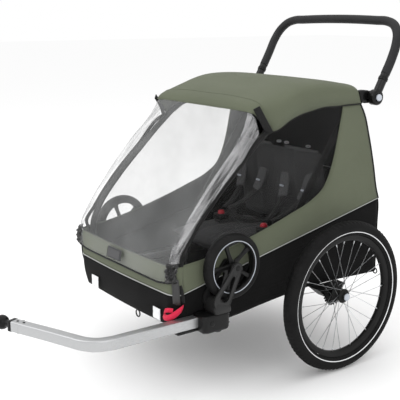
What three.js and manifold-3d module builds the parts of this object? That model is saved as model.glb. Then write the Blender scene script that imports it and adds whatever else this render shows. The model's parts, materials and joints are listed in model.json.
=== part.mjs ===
// Two-seat child bicycle trailer with a tow arm, stowed stroller wheels and a push bar.
// Millimetres, +Z up. The trailer drives towards -Y and its left side is +X.
// While it is built, y = 0 is the wheel axle and z = 0 is the ground.
import * as THREE from 'three';
import { mergeVertices } from 'three/addons/utils/BufferGeometryUtils.js';
import Module from 'manifold-3d';

const wasm = await Module();
wasm.setup();

// ---------- driving dimensions ----------
const gap = 0.3;                 // between pieces that touch
const runningGap = 0.4;          // between a pin and the eye that turns on it
const sheet = 3;                 // thickness of fabric and plastic walls

const trackWidth = 760;          // between the two wheel planes
const wheelRadius = 250;         // outside of the tyre
const tyreThickness = 47;
const rimWidth = 22;
const rimDepth = 17;
const spokeCount = 28;           // pairs of spokes cross, half of them on each hub flange
const spokeThickness = 2.6;
const hubFlangeRadius = 24;
const brakeTeeth = 24;
const brakeRingRadius = 40;
const axleRadius = 6;
const capRadius = 12;
const capTravel = 3;

const bodyWidth = 572.6;         // outside of the side skirts
const frontY = -601;             // outside of the front panel
const rearY = 255;               // outside of the rear skirt
const cornerRadius = 36;
const floorZ = 268;
const floorThickness = 6;
const beltFront = 344;           // where the green side starts, at the front corner
const beltRear = 528;            // and at the rear
const bandTop = 430;             // top of the fabric band across the front

const railWidth = 24;
const railHeight = 26;
const crossTubeRadius = 9;
const axleBeamRadius = 12;

const archTubeRadius = 10;
const archX = bodyWidth / 2 - 16.3;      // tube centre from the middle
const foldPivot = [-548, 337];   // y, z of the cabin frame's hinge
const stayTop = [150, 865];
const stayFoot = [215, 287];
const lowerStayLength = 380;
const upperStayLength = 485;
const stayWidth = 24;
const stayThickness = 6.4;
const pinRadius = 5;

const roofPeakZ = 945;
const roofRearY = 135;
const visorY = -297;

const barPivot = [189, 876];     // y, z of the push bar's joint
const barHalfWidth = bodyWidth / 2 + 21.7;
const barRadius = 14.5;
const barTopZ = 1121;
const barReach = 117;            // top of the bar behind its joint
const barEyeRadius = 20;
const knobRadius = 11;
const knobTravel = 4;

const receiverX = [bodyWidth / 2 + 0.7, bodyWidth / 2 + 60.7];
const receiverY = [-527, -440];
const receiverZ = [232, 282];
const stemRadius = 8;
const stemY = -464;
const stemDepth = 32;
const casterRadius = 100;
const casterCentre = [-412, receiverZ[1] + 29 + casterRadius];   // clear of the fork's crown
const casterWidth = 36;
const casterTyreDepth = 16;
const casterSpokes = 5;
const forkThickness = 7;

const armSize = 32;              // square tow arm
const armX = receiverX[0] + 16;
const armZ = 259;
const armSocketDepth = 43;
const armBendY = -846;
const armTip = [14, -981];       // x, y
const ballRadius = 22;
const neckRadius = 11;

const seatHalfWidth = bodyWidth / 2 - 54.3;
const seatSpacing = seatHalfWidth + 4;        // between the middles of the two seats
const webbing = 28;

const pedalWidth = 120;

const halfTrack = trackWidth / 2;
const skirtX = bodyWidth / 2 - sheet;     // inner face of the side skirts

// ---------- shape helpers ----------
const toShape = (points) => new THREE.Shape(points.map(([u, v]) => new THREE.Vector2(u, v)));

function extrude(points, depth, basis, start) {
  const geometry = new THREE.ExtrudeGeometry(toShape(points), { depth, bevelEnabled: false, steps: 1 });
  geometry.applyMatrix4(new THREE.Matrix4().makeBasis(...basis.map((axis) => new THREE.Vector3(...axis))));
  return geometry.translate(...start);
}

// An outline of [y, z] points given thickness along X, and the same for the other two directions.
const plateX = (points, x0, x1) => extrude(points, x1 - x0, [[0, 1, 0], [0, 0, 1], [1, 0, 0]], [x0, 0, 0]);
const plateY = (points, y0, y1) => extrude(points, y1 - y0, [[1, 0, 0], [0, 0, 1], [0, -1, 0]], [0, y1, 0]);
const plateZ = (points, z0, z1) => extrude(points, z1 - z0, [[1, 0, 0], [0, 1, 0], [0, 0, 1]], [0, 0, z0]);

function block([x0, x1], [y0, y1], [z0, z1]) {
  return new THREE.BoxGeometry(x1 - x0, y1 - y0, z1 - z0)
    .translate((x0 + x1) / 2, (y0 + y1) / 2, (z0 + z1) / 2);
}

const rodX = (x0, x1, radius, [y, z], sides = 12) => new THREE.CylinderGeometry(radius, radius, x1 - x0, sides)
  .rotateZ(Math.PI / 2).translate((x0 + x1) / 2, y, z);

const rodZ = (z0, z1, radius, [x, y], sides = 12) => new THREE.CylinderGeometry(radius, radius, z1 - z0, sides)
  .rotateX(Math.PI / 2).translate(x, y, (z0 + z1) / 2);

// A profile of [radius, x] points, listed so that the outside runs towards +X, turned round an axis along X.
function turnX(profile, [y, z], segments) {
  const points = profile.map(([radius, x]) => new THREE.Vector2(radius, x));
  return new THREE.LatheGeometry(points, segments).rotateZ(-Math.PI / 2).translate(0, y, z);
}

function circle(radius, sides, [u, v] = [0, 0]) {
  return Array.from({ length: sides }, (_, k) => {
    const angle = (2 * Math.PI * k) / sides;
    return [u + radius * Math.cos(angle), v + radius * Math.sin(angle)];
  });
}

function sweep(section, points, steps) {
  const path = new THREE.CatmullRomCurve3(points.map((p) => new THREE.Vector3(...p)), false, 'centripetal');
  return new THREE.ExtrudeGeometry(toShape(section), { steps, bevelEnabled: false, extrudePath: path });
}

// A line of [y, z] points given a width, as an outline that a plate can be made from.
function strip(points, thickness) {
  const offset = (side) => points.map(([u, v], k) => {
    const [a, b] = [points[Math.max(k - 1, 0)], points[Math.min(k + 1, points.length - 1)]];
    const length = Math.hypot(b[0] - a[0], b[1] - a[1]);
    return [u - side * ((b[1] - a[1]) / length) * thickness, v + side * ((b[0] - a[0]) / length) * thickness];
  });
  return [...points, ...offset(1).reverse()];
}

function arc([u, v], radius, from, to, sides = 8) {
  return Array.from({ length: sides + 1 }, (_, k) => {
    const angle = from + ((to - from) * k) / sides;
    return [u + radius * Math.cos(angle), v + radius * Math.sin(angle)];
  });
}

// A bar between two round eyes, seen from the side.
function link(first, firstRadius, second, secondRadius) {
  const across = Math.atan2(second[1] - first[1], second[0] - first[0]) + Math.PI / 2;
  return [...arc(first, firstRadius, across, across + Math.PI),
    ...arc(second, secondRadius, across - Math.PI, across)];
}

// ---------- joining and cutting ----------
function solid(geometry) {
  const bare = geometry.clone();
  bare.deleteAttribute('normal');
  bare.deleteAttribute('uv');
  const merged = mergeVertices(bare, 1e-4);
  return new wasm.Manifold(new wasm.Mesh({
    numProp: 3,
    vertProperties: new Float32Array(merged.attributes.position.array),
    triVerts: new Uint32Array(merged.index.array),
  }));
}

function shape(added, removed = []) {
  const whole = added.map(solid).reduce((a, b) => a.add(b));
  const cut = removed.map(solid).reduce((a, b) => a.subtract(b), whole);
  const { vertProperties, triVerts } = cut.getMesh();
  const geometry = new THREE.BufferGeometry();
  geometry.setAttribute('position', new THREE.BufferAttribute(new Float32Array(vertProperties), 3));
  geometry.setIndex(new THREE.BufferAttribute(new Uint32Array(triVerts), 1));
  geometry.computeVertexNormals();
  return geometry;
}

function mirrored(geometry) {
  const copy = geometry.clone().scale(-1, 1, 1);
  const index = copy.index.array;
  for (let k = 0; k < index.length; k += 3) [index[k + 1], index[k + 2]] = [index[k + 2], index[k + 1]];
  copy.computeVertexNormals();
  return copy;
}

// ---------- finishes ----------
const finish = (color, roughness, metalness = 0) => ({ color, roughness, metalness });
const finishes = {
  greenFabric: finish(0x70765f, 0.9),
  roofFabric: finish(0x848974, 0.9),
  blackFabric: finish(0x222222, 0.92),
  mesh: finish(0x2e2e2e, 0.95),
  clear: finish(0xa9abab, 0.25),
  blackTube: finish(0x1c1c1d, 0.45, 0.3),
  aluminium: finish(0xc4c6c8, 0.4, 0.9),
  blackPlastic: finish(0x19191a, 0.55),
  greyPlastic: finish(0xb7bbc2, 0.5),
  reflector: finish(0xe8eaec, 0.2),
  rubber: finish(0x2a2a2b, 0.85),
  steel: finish(0xb0b2b5, 0.35, 1),
  red: finish(0xb02a38, 0.6),
};

const trailer = new THREE.Group();

function add(name, geometry, look) {
  const piece = new THREE.Mesh(geometry, new THREE.MeshStandardMaterial(finishes[look]));
  piece.name = name;
  trailer.add(piece);
}

function addPair(name, geometry, look) {
  add(`${name}_left`, geometry, look);
  add(`${name}_right`, mirrored(geometry), look);
}

// ---------- wheels ----------
const wheelCentre = [0, wheelRadius];
const stubEndX = halfTrack + 13;
const hubFaceX = halfTrack + 18;
const ringInnerX = halfTrack - 47;

function tyre(radius, width, depth, x, centre, segments) {
  const section = circle(1, 8)
    .map(([u, v]) => [radius - depth / 2 + (u * depth) / 2, x + (v * width) / 2]);
  return shape([turnX([...section, section[0]], centre, segments)]);
}

function toothedRing() {
  const outline = Array.from({ length: brakeTeeth * 4 }, (_, k) => {
    const tooth = Math.floor(k / 4);
    const corner = k % 4;
    const angle = ((tooth + [-0.25, 0.25, 0.25, 0.75][corner]) * 2 * Math.PI) / brakeTeeth;
    const radius = corner < 2 ? brakeRingRadius : brakeRingRadius - 8;
    return [radius * Math.cos(angle), wheelRadius + radius * Math.sin(angle)];
  });
  return plateX(outline, ringInnerX, ringInnerX + 5);
}

function wheel() {
  const rimOuter = wheelRadius - tyreThickness - gap;
  const rimInner = rimOuter - rimDepth;
  const half = rimWidth / 2;
  const rim = turnX([
    [rimInner, halfTrack - 5], [rimOuter, halfTrack - half], [rimOuter, halfTrack + half],
    [rimInner, halfTrack + 5], [rimInner, halfTrack - 5],
  ], wheelCentre, spokeCount);
  const hub = turnX([
    [0, ringInnerX], [22, ringInnerX], [22, halfTrack - 30], [hubFlangeRadius, halfTrack - 30],
    [hubFlangeRadius, halfTrack - 26], [15, halfTrack - 24], [15, halfTrack - 2],
    [hubFlangeRadius, halfTrack], [hubFlangeRadius, halfTrack + 4], [20, halfTrack + 6],
    [18, hubFaceX], [0, hubFaceX],
  ], wheelCentre, 16);
  const spokes = Array.from({ length: spokeCount }, (_, k) => {
    const outer = k % 2;
    const lean = (Math.floor(k / 2) % 2 ? 1 : -1) * 1.15;
    const rimAngle = (2 * Math.PI * (k + 0.5)) / spokeCount;
    const from = new THREE.Vector3(halfTrack + (outer ? 2 : -28),
      (hubFlangeRadius - 4) * Math.cos(rimAngle + lean),
      wheelRadius + (hubFlangeRadius - 4) * Math.sin(rimAngle + lean));
    const to = new THREE.Vector3(halfTrack, (rimInner + 3) * Math.cos(rimAngle),
      wheelRadius + (rimInner + 3) * Math.sin(rimAngle));
    const spoke = new THREE.CylinderGeometry(spokeThickness / 2, spokeThickness / 2, from.distanceTo(to), 3);
    const turn = new THREE.Quaternion().setFromUnitVectors(new THREE.Vector3(0, 1, 0),
      to.clone().sub(from).normalize());
    const middle = from.clone().add(to).multiplyScalar(0.5);
    return spoke.applyQuaternion(turn).translate(middle.x, middle.y, middle.z);
  });
  const bore = rodX(ringInnerX - 1, hubFaceX + 1, axleRadius + runningGap, wheelCentre, 16);
  const capSeat = rodX(stubEndX + gap, hubFaceX + 1, capRadius + runningGap, wheelCentre, 16);
  return shape([rim, hub, toothedRing(), ...spokes], [bore, capSeat]);
}

addPair('tyre', tyre(wheelRadius, tyreThickness, tyreThickness, halfTrack, wheelCentre, spokeCount), 'rubber');
addPair('wheel', wheel(), 'blackPlastic');
addPair('wheel_release_button', shape([
  turnX([[0, stubEndX + capTravel + gap * 2], [capRadius, stubEndX + capTravel + gap * 2],
    [capRadius, hubFaceX + 1], [capRadius - 3, hubFaceX + 4], [0, hubFaceX + 4]], wheelCentre, 16),
]), 'greyPlastic');

// ---------- chassis ----------
const railZ = [floorZ + floorThickness + gap, floorZ + floorThickness + gap + railHeight];
const railX = [skirtX - gap - 1 - railWidth, skirtX - gap - 1];
const stayOuterX = [railX[0] - 4 - stayThickness, railX[0] - 4];
const stayInnerX = [stayOuterX[0] - gap - stayThickness, stayOuterX[0] - gap];
const postX = [stayOuterX[0], railX[0] + 2];
const archEyeX = [archX - archTubeRadius, archX + archTubeRadius];

// Lower side rail, with the post that carries the cabin frame's hinge pin and the rear stay's pin.
addPair('rail', shape([
  block(railX, [foldPivot[0] - 14, rearY - sheet - 5], railZ),
  plateX([[foldPivot[0] - 14, railZ[0]], [foldPivot[0] + 14, railZ[0]], [foldPivot[0] + 14, foldPivot[1] + 10],
    [foldPivot[0] - 14, foldPivot[1] + 10]], ...postX),
  rodX(postX[0], archEyeX[1], pinRadius, foldPivot),
  rodX(stayOuterX[0] - 2, railX[0] + 1, pinRadius, stayFoot),
]), 'blackTube');

const crossTube = (y) => shape([rodX(-railX[0] + gap, railX[0] - gap, crossTubeRadius,
  [y, (railZ[0] + railZ[1]) / 2])]);
add('front_cross_tube', crossTube(-500), 'blackTube');
add('rear_cross_tube', crossTube(stayFoot[0] + stayWidth / 2 + crossTubeRadius + 5), 'blackTube');

// Axle beam: a tube under the floor, a wedge and a stub axle at each side, and the guides of the brake pins.
const brakePinAngle = Math.PI / brakeTeeth;
const brakePinRadius = 1.7;
const brakePinAt = [(brakeRingRadius - 4) * Math.cos(brakePinAngle),
  wheelRadius + (brakeRingRadius - 4) * Math.sin(brakePinAngle)];
const wedgeX = [bodyWidth / 2 + gap, ringInnerX - 4];
const wedge = plateX([[-64, floorZ], [-20, wheelRadius - 17], [20, wheelRadius - 17], [64, floorZ]], ...wedgeX);
const guideLength = 20;
const brakeCollarRadius = 5;
const guide = block([wedgeX[1] - guideLength, wedgeX[1]], [20, brakePinAt[0] + 7],
  [wheelRadius - 3, wheelRadius + 13]);
const halfBeam = shape([
  rodX(0, wedgeX[1], axleBeamRadius, wheelCentre), wedge, guide,
  rodX(wedgeX[1] - 5, stubEndX, axleRadius, wheelCentre),
], [rodX(wedgeX[1] - guideLength - 1, wedgeX[1] + 1, brakePinRadius + runningGap, brakePinAt, 12),
  rodX(wedgeX[0] - 1, wedgeX[1] - guideLength, brakeCollarRadius + 1, brakePinAt, 12)]);
add('axle_beam', shape([halfBeam, mirrored(halfBeam)]), 'blackTube');

add('floor_pan', shape([plateZ([[-skirtX + gap, -550], [-skirtX + 36, -594], [skirtX - 36, -594],
  [skirtX - gap, -550], [skirtX - gap, rearY - sheet - 1], [-skirtX + gap, rearY - sheet - 1]],
floorZ, floorZ + floorThickness)]), 'blackFabric');

const beltAt = (y) => beltFront + ((beltRear - beltFront) * (y - frontY - 45)) / (rearY - frontY - 45);
const skirtFrontY = frontY + cornerRadius + gap;
addPair('side_skirt', shape([plateX([
  [skirtFrontY, 230], [-383, 234], [-271, 249], [-102, floorZ + 2], [-64, floorZ], [64, floorZ],
  [rearY, 262], [rearY, beltAt(rearY)], [skirtFrontY, beltAt(skirtFrontY)],
], skirtX, bodyWidth / 2)]), 'blackFabric');

// The front panel turns round both front corners.
function bentFront(inset) {
  const x = bodyWidth / 2 - inset;
  const radius = cornerRadius - inset;
  const corner = Array.from({ length: 7 }, (_, k) => {
    const angle = (Math.PI / 2) * (k / 6);
    return [x - radius + radius * Math.cos(angle), frontY + cornerRadius - radius * Math.sin(angle)];
  });
  return [...corner, ...corner.map(([u, v]) => [-u, v]).reverse()];
}
add('front_panel', shape([plateZ([...bentFront(0), ...bentFront(4).reverse()], 240, bandTop)]), 'greenFabric');

add('rear_skirt', shape([plateY([[-skirtX + gap, floorZ - 4], [skirtX - gap, floorZ - 4],
  [skirtX - gap, 318], [-skirtX + gap, 318]], rearY - sheet, rearY)]), 'blackFabric');

const reflector = (x, z, width, height) => shape([
  block([x - width / 2, x + width / 2], [frontY - 7, frontY - gap], [z - height / 2, z + height / 2])]);
add('front_reflector_left', reflector(207, 271, 34, 32), 'reflector');
add('front_reflector_right', reflector(-167, 272, 40, 36), 'reflector');

// ---------- receivers, tow arm and hitch ----------
const receiverMiddle = (receiverX[0] + receiverX[1]) / 2;
const stemFloorZ = receiverZ[1] - stemDepth - 2;
const plungerY = receiverY[0] + 22;
const armSocketEnd = receiverY[0] + armSocketDepth + gap;
const armHalf = armSize / 2;

const receiverBody = () => plateZ([
  [receiverX[0], receiverY[0]], [receiverX[1] - 12, receiverY[0]], [receiverX[1], receiverY[0] + 12],
  [receiverX[1], receiverY[1] - 12], [receiverX[1] - 12, receiverY[1]], [receiverX[0], receiverY[1]],
], ...receiverZ);
const stemBore = () => rodZ(stemFloorZ, receiverZ[1] + 1, stemRadius + runningGap, [receiverMiddle, stemY]);
const releaseSeat = () => rodZ(receiverZ[0] - 1, receiverZ[0] + knobTravel + 4, 13 + runningGap,
  [receiverMiddle, stemY], 16);
const armSocket = block([armX - armHalf - gap, armX + armHalf + gap], [receiverY[0] - 1, armSocketEnd],
  [armZ - armHalf - gap, armZ + armHalf + gap]);
const armTongue = block([armX - 11, armX + 13], [receiverY[0] - 78, receiverY[0] + 1],
  [receiverZ[0], armZ - armHalf - gap]);
const plungerBore = rodX(armX, receiverX[1] + 1, 4 + runningGap, [plungerY, armZ]);
add('receiver_left', shape([receiverBody(), armTongue],
  [stemBore(), releaseSeat(), armSocket, plungerBore]), 'blackPlastic');
add('receiver_right', mirrored(shape([receiverBody()], [stemBore(), releaseSeat()])), 'blackPlastic');

addPair('caster_release_button', shape([
  rodZ(receiverZ[0] - 15, receiverZ[0] + 3.6, 13, [receiverMiddle, stemY], 16)]), 'blackPlastic');

const armSquare = [[-1, -0.72], [-0.72, -1], [0.72, -1], [1, -0.72], [1, 0.72], [0.72, 1], [-0.72, 1],
  [-1, 0.72]].map(([u, v]) => [u * armHalf, v * armHalf]);
const armStartY = armSocketEnd - gap;
const armBendExit = new THREE.Vector2(armX - 80, armBendY - 50);
const armDirection = new THREE.Vector2(...armTip).sub(armBendExit).normalize();
const beforeTip = (length) => [armTip[0] - length * armDirection.x, armTip[1] - length * armDirection.y, armZ];
add('tow_arm', shape([sweep(armSquare, [
  [armX, armStartY, armZ], [armX, -650, armZ], [armX, armBendY + 70, armZ], [armX - 6, armBendY + 22, armZ],
  [armX - 28, armBendY - 22, armZ], [armBendExit.x, armBendExit.y, armZ],
  beforeTip(120), beforeTip(40), beforeTip(0),
], 26)]), 'aluminium');

const armEnd = new THREE.Vector3(...armTip, armZ);
const onArm = (geometry) => geometry.rotateZ(Math.atan2(armDirection.y, armDirection.x))
  .translate(armEnd.x, armEnd.y, armEnd.z);
const alongArm = (x0, x1, radius, sides) => onArm(rodX(x0, x1, radius, [0, 0], sides));
const ballX = 44;
add('hitch_ball', shape([
  alongArm(gap * 2, 10, 15, 16), alongArm(8, ballX, neckRadius, 12),
  onArm(new THREE.SphereGeometry(ballRadius, 14, 8).translate(ballX, 0, 0)),
]), 'blackPlastic');

const plungerKnob = turnX([
  [0, armX + armHalf + 1.5], [4, armX + armHalf + 1.5], [4, receiverX[1] + 1], [9, receiverX[1] + 1],
  [9, receiverX[1] + 9], [6, receiverX[1] + 12], [0, receiverX[1] + 12],
], [plungerY, armZ], 12);
add('tow_arm_lock', shape([plungerKnob]), 'blackPlastic');

// ---------- stowed stroller wheels ----------
const crownZ = [receiverZ[1] + gap, receiverZ[1] + 20];
const crownY = [stemY - 30, stemY + 26];
const casterX = (receiverX[0] + receiverX[1]) / 2 + 3;
const casterHalf = casterWidth / 2;
const legInner = casterX - casterHalf - 5;
const legOuter = casterX + casterHalf + 5;

function fork() {
  const outline = [[crownY[0], crownZ[0]], [crownY[1], crownZ[0]], [crownY[1], crownZ[1]],
    ...arc(casterCentre, 18, -0.25, 3.05, 12), [crownY[0], crownZ[1]]];
  const slot = [[stemY - 8, crownZ[1] + 12], [stemY + 18, crownZ[1] + 12],
    [casterCentre[0] - 2, casterCentre[1] - 34], [casterCentre[0] - 13, casterCentre[1] - 32]];
  return shape([
    plateX(outline, legInner - forkThickness, legInner), plateX(outline, legOuter, legOuter + forkThickness),
    block([legInner - forkThickness, legOuter + forkThickness], crownY, crownZ),
    rodX(legInner - 1, legOuter + 1, pinRadius, casterCentre),
    rodZ(stemFloorZ + 1, crownZ[0] + 1, stemRadius, [receiverMiddle, stemY]),
  ], [plateX(slot, legOuter - 1, legOuter + forkThickness + 1)]);
}
addPair('caster_fork', fork(), 'blackPlastic');

function casterCore() {
  const outer = casterRadius - casterTyreDepth - gap;
  const rim = turnX([[outer - 7, casterX - 13], [outer, casterX - 13], [outer, casterX + 13],
    [outer - 7, casterX + 13], [outer - 7, casterX - 13]], casterCentre, 24);
  const hub = rodX(casterX - casterHalf - 2, casterX + casterHalf + 2, 14, casterCentre, 12);
  const spokes = Array.from({ length: casterSpokes }, (_, k) => {
    const bar = new THREE.BoxGeometry(16, outer - 15, 12).translate(casterX, outer / 2, 0);
    return bar.rotateX((2 * Math.PI * k) / casterSpokes + 0.35).translate(0, ...casterCentre);
  });
  return shape([rim, hub, ...spokes], [rodX(casterX - 30, casterX + 30, pinRadius + runningGap, casterCentre)]);
}
addPair('caster_wheel', casterCore(), 'blackPlastic');
addPair('caster_tyre', tyre(casterRadius, casterWidth, casterTyreDepth, casterX, casterCentre, 24), 'rubber');

// ---------- cabin frame: arches, bows, roof and front cover ----------
const archPath = [foldPivot, [-556, 400], [-553, 450], [-530, 500], [-450, 600], [-358, 690], [-262, 778],
  [-190, 832], [-100, 858], [0, 868], stayTop];
const bossEye = archTubeRadius + 4;
addPair('arch', shape([
  sweep(circle(archTubeRadius, 8), archPath.map((p) => [archX, ...p]), 20),
  rodX(...archEyeX, bossEye, foldPivot),
  rodX(stayInnerX[1] + gap, archEyeX[1], bossEye - 2, stayTop),
], [rodX(archEyeX[0] - 1, archEyeX[1] + 1, pinRadius + runningGap, foldPivot)]), 'blackTube');

const rearBowAt = [60, 893];
const bowReach = stayInnerX[0] - 4;
add('rear_bow', shape([rodX(-bowReach, bowReach, 8, rearBowAt)]), 'blackTube');
const visorBowAt = [visorY + 11, 863];
add('visor_bow', shape([rodX(-archEyeX[1], archEyeX[1], 4.5, visorBowAt, 12)]), 'blackTube');

const roofLine = [[visorY, 880], [-200, 928], [-100, roofPeakZ], [0, 935], [100, 920], [127, 903],
  [roofRearY, 888]];
const roofEdge = [[roofRearY, 857], [73, 854], [-29, 853], [-101, 842], [-163, 824], [-235, 794],
  [visorY, 872]];
const roofX = bodyWidth / 2 + 4.3;
const rearOpening = stayTop[1] + 18;
const roofInside = [[visorY - 60, 700], [roofRearY + 1, 700], [roofRearY + 1, rearOpening],
  [roofRearY - sheet, rearOpening],
  ...roofLine.map(([y, z]) => [Math.min(y, roofRearY - sheet), z - sheet]).reverse(), [visorY - 60, 850]];
add('canopy', shape([plateX([...roofLine, ...roofEdge], -roofX, roofX)],
  [plateX(roofInside, -roofX + sheet, roofX - sheet)]), 'roofFabric');

const coverLine = [[-613, 373], [-612, 405], [-600, 465], [-530, 565], [-466, 655], [-390, 745],
  [-305, 850]];
const coverReturn = [[-582, 373], [-580, 436], [-545, 500], [-461, 608], [-371, 700], [-276, 787],
  [-290, 845]];
add('front_cover', shape([
  plateX(strip(coverLine, -sheet), -bodyWidth / 2, bodyWidth / 2),
  plateX([...coverLine, ...coverReturn.slice().reverse()], skirtX, bodyWidth / 2),
  plateX([...coverLine, ...coverReturn.slice().reverse()], -bodyWidth / 2, -skirtX),
]), 'clear');

// ---------- rear stays that fold with the cabin frame ----------
// The knee is where circles about the foot and the top of the stay cross, on the seat's side.
function kneePoint() {
  const span = Math.hypot(stayTop[0] - stayFoot[0], stayTop[1] - stayFoot[1]);
  const base = Math.atan2(stayTop[1] - stayFoot[1], stayTop[0] - stayFoot[0]);
  const open = Math.acos((lowerStayLength ** 2 + span ** 2 - upperStayLength ** 2)
    / (2 * lowerStayLength * span));
  return [stayFoot[0] + lowerStayLength * Math.cos(base + open),
    stayFoot[1] + lowerStayLength * Math.sin(base + open)];
}
const knee = kneePoint();
const eye = stayWidth / 2;
addPair('lower_stay', shape([
  plateX(link(stayFoot, eye, knee, eye), ...stayOuterX), rodX(stayInnerX[0] - 2, stayOuterX[1], pinRadius, knee),
], [rodX(stayOuterX[0] - 1, stayOuterX[1] + 1, pinRadius + runningGap, stayFoot)]), 'blackTube');
addPair('upper_stay', shape([plateX(link(knee, eye, stayTop, eye), ...stayInnerX)],
  [rodX(stayInnerX[0] - 1, stayInnerX[1] + 1, pinRadius + runningGap, knee)]), 'blackTube');

// ---------- push bar ----------
const bracketX = [archEyeX[1] + gap, barHalfWidth - barRadius - gap];
const knobSeatX = barHalfWidth + barRadius - knobTravel - 2;
addPair('push_bar_bracket', shape([
  plateX(link([stayTop[0] + 8, stayTop[1] + 4], bossEye - 2, barPivot, barEyeRadius), ...bracketX),
  rodX(bracketX[1] - 1, knobSeatX - gap, pinRadius + 2, barPivot),
]), 'blackPlastic');

function pushBar() {
  const lean = barReach / (barTopZ - barPivot[1]);
  const offsets = [[0, 12], [0, 60], [-2, 118], [-12, 168], [-40, 214], [-80, 238], [-130, 245]];
  const side = offsets.map(([dx, dz]) => [
    barHalfWidth + dx, barPivot[0] + Math.min(dz * 0.58, dz * lean + 12), barPivot[1] + dz]);
  const top = side.map(([x, y, z]) => [-x, y, z]).reverse();
  const joints = [1, -1].map((s) => rodX(s * barHalfWidth - barRadius, s * barHalfWidth + barRadius,
    barEyeRadius, barPivot, 16));
  const bores = [1, -1].map((s) => rodX(s * barHalfWidth - barRadius - 1, s * barHalfWidth + barRadius + 1,
    pinRadius + 2 + runningGap, barPivot));
  const seats = [[knobSeatX, barHalfWidth + barRadius + 1], [-barHalfWidth - barRadius - 1, -knobSeatX]]
    .map(([x0, x1]) => rodX(x0, x1, knobRadius + runningGap, barPivot, 16));
  return shape([sweep(circle(barRadius, 8), [...side, ...top], 34), ...joints], [...bores, ...seats]);
}
add('push_bar', pushBar(), 'blackTube');
addPair('push_bar_button', shape([turnX([
  [0, knobSeatX + knobTravel + gap], [knobRadius, knobSeatX + knobTravel + gap],
  [knobRadius, barHalfWidth + barRadius + 5], [knobRadius - 2, barHalfWidth + barRadius + 7],
  [0, barHalfWidth + barRadius + 7]], barPivot, 16)]), 'greyPlastic');

// ---------- side and rear walls ----------
const rearWallLine = [[rearY - 1, 319], [rearY - 1, 428], [240, 554], [219, 644], [190, 748],
  [163, 827], [155, 844]];
const archFrontLine = [[skirtFrontY, bandTop + 2], [-575, 436], [-541, 500], [-457, 608],
  [-367, 700], [-272, 783]];
addPair('side_panel', shape([plateX([
  [skirtFrontY, beltAt(skirtFrontY) + gap], [rearY - 1, beltAt(rearY) + gap], ...rearWallLine.slice(2),
  [roofRearY, 846], [73, 843], [-29, 842], [-101, 831], [-163, 813], [-230, 786], ...archFrontLine.slice().reverse(),
], skirtX, bodyWidth / 2)]), 'mesh');
add('rear_panel', shape([plateX(strip(rearWallLine, sheet), -skirtX + gap, skirtX - gap)]), 'mesh');

// ---------- seat and harness ----------
const seatFront = [-250, 392];
const seatTopZ = 410;
const backFoot = [30, seatTopZ + 2];
const backHead = [85, 700];
const backDepth = 38;
add('seat_base', shape([plateX([seatFront, [-262, 350], [-240, 336], [70, 336], [82, 350], [82, seatTopZ - 2],
  [-150, seatTopZ - 2], [-225, seatTopZ - 6]].reverse(), -seatHalfWidth, seatHalfWidth)]), 'blackFabric');
add('seat_back', shape([plateX([backFoot, [backFoot[0] + backDepth, backFoot[1]],
  [backHead[0] + backDepth, backHead[1]], backHead], -seatHalfWidth, seatHalfWidth)]), 'blackFabric');

const buckleAt = [-112, 452];
const backSlope = (backHead[0] - backFoot[0]) / (backHead[1] - backFoot[1]);
const backFaceAt = (z) => backFoot[0] + backSlope * (z - backFoot[1]);
const strapLine = [[backFaceAt(640) - 1, 640], [backFaceAt(560) - 2, 560], [10, 500], [-50, 470],
  [buckleAt[0] + 26, buckleAt[1] + 3]];
const crotchLine = [[buckleAt[0] + 27, buckleAt[1] + 5], [buckleAt[0] + 25, 435],
  [buckleAt[0] + 20, seatTopZ + 1]];
for (const [side, name] of [[1, 'left'], [-1, 'right']]) {
  const middle = (side * seatSpacing) / 2;
  const shoulders = [-62, 62].map((dx) => plateX(strip(strapLine.slice(0, 4), -3),
    middle + dx - webbing / 2, middle + dx + webbing / 2));
  const joined = plateX(strip([[-44, 471], ...strapLine.slice(4)], -3), middle - 30, middle + 30);
  const yoke = plateX(strip([[-40, 474], [-60, 466]], -3), middle - 62 - webbing / 2, middle + 62 + webbing / 2);
  const crotch = plateX(strip(crotchLine, 3), middle - webbing / 2, middle + webbing / 2);
  add(`harness_${name}`, shape([...shoulders, joined, yoke, crotch]), 'blackFabric');
  add(`buckle_${name}`, shape([block([middle - 22, middle + 22],
    [buckleAt[0] - 22, buckleAt[0] + 22], [buckleAt[1] - 12, buckleAt[1] + 6])],
  [block([middle - 9, middle + 9], [buckleAt[0] - 9, buckleAt[0] + 9],
    [buckleAt[1] + 1, buckleAt[1] + 7])]), 'blackPlastic');
  add(`buckle_button_${name}`, shape([block([middle - 8, middle + 8], [buckleAt[0] - 8, buckleAt[0] + 8],
    [buckleAt[1] + 4, buckleAt[1] + 10])]), 'red');
}

// ---------- parking brake ----------
addPair('brake_pin', shape([
  rodX(wedgeX[1] - 32, wedgeX[1] + 2, brakePinRadius, brakePinAt, 12),
  rodX(wedgeX[1] - 32, wedgeX[1] - 27, brakeCollarRadius, brakePinAt, 12),
]), 'steel');
const pedalPivot = [rearY + 12, floorZ];
add('brake_pedal', shape([
  rodX(-pedalWidth / 2, pedalWidth / 2, 8, pedalPivot),
  plateX(link(pedalPivot, 6, [pedalPivot[0] + 46, pedalPivot[1] + 8], 4), -pedalWidth / 2 + 8, pedalWidth / 2 - 8),
]), 'red');

// The origin is on the ground, in the middle of the object's box.
const size = new THREE.Box3().setFromObject(trailer);
const centre = size.getCenter(new THREE.Vector3());
trailer.position.set(-centre.x, -centre.y, -size.min.z);

export default trailer;
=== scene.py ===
# %% [markdown]
# # A two-seat bicycle trailer
# The frame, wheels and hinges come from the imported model. This file adds the finish: soft walls,
# clear cover, tyres and spokes, smooth bent tubes, webbing and materials. Every length below is in
# millimetres with y = 0 at the wheel axle and z = 0 on the ground; `place` turns it into metres.

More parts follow.
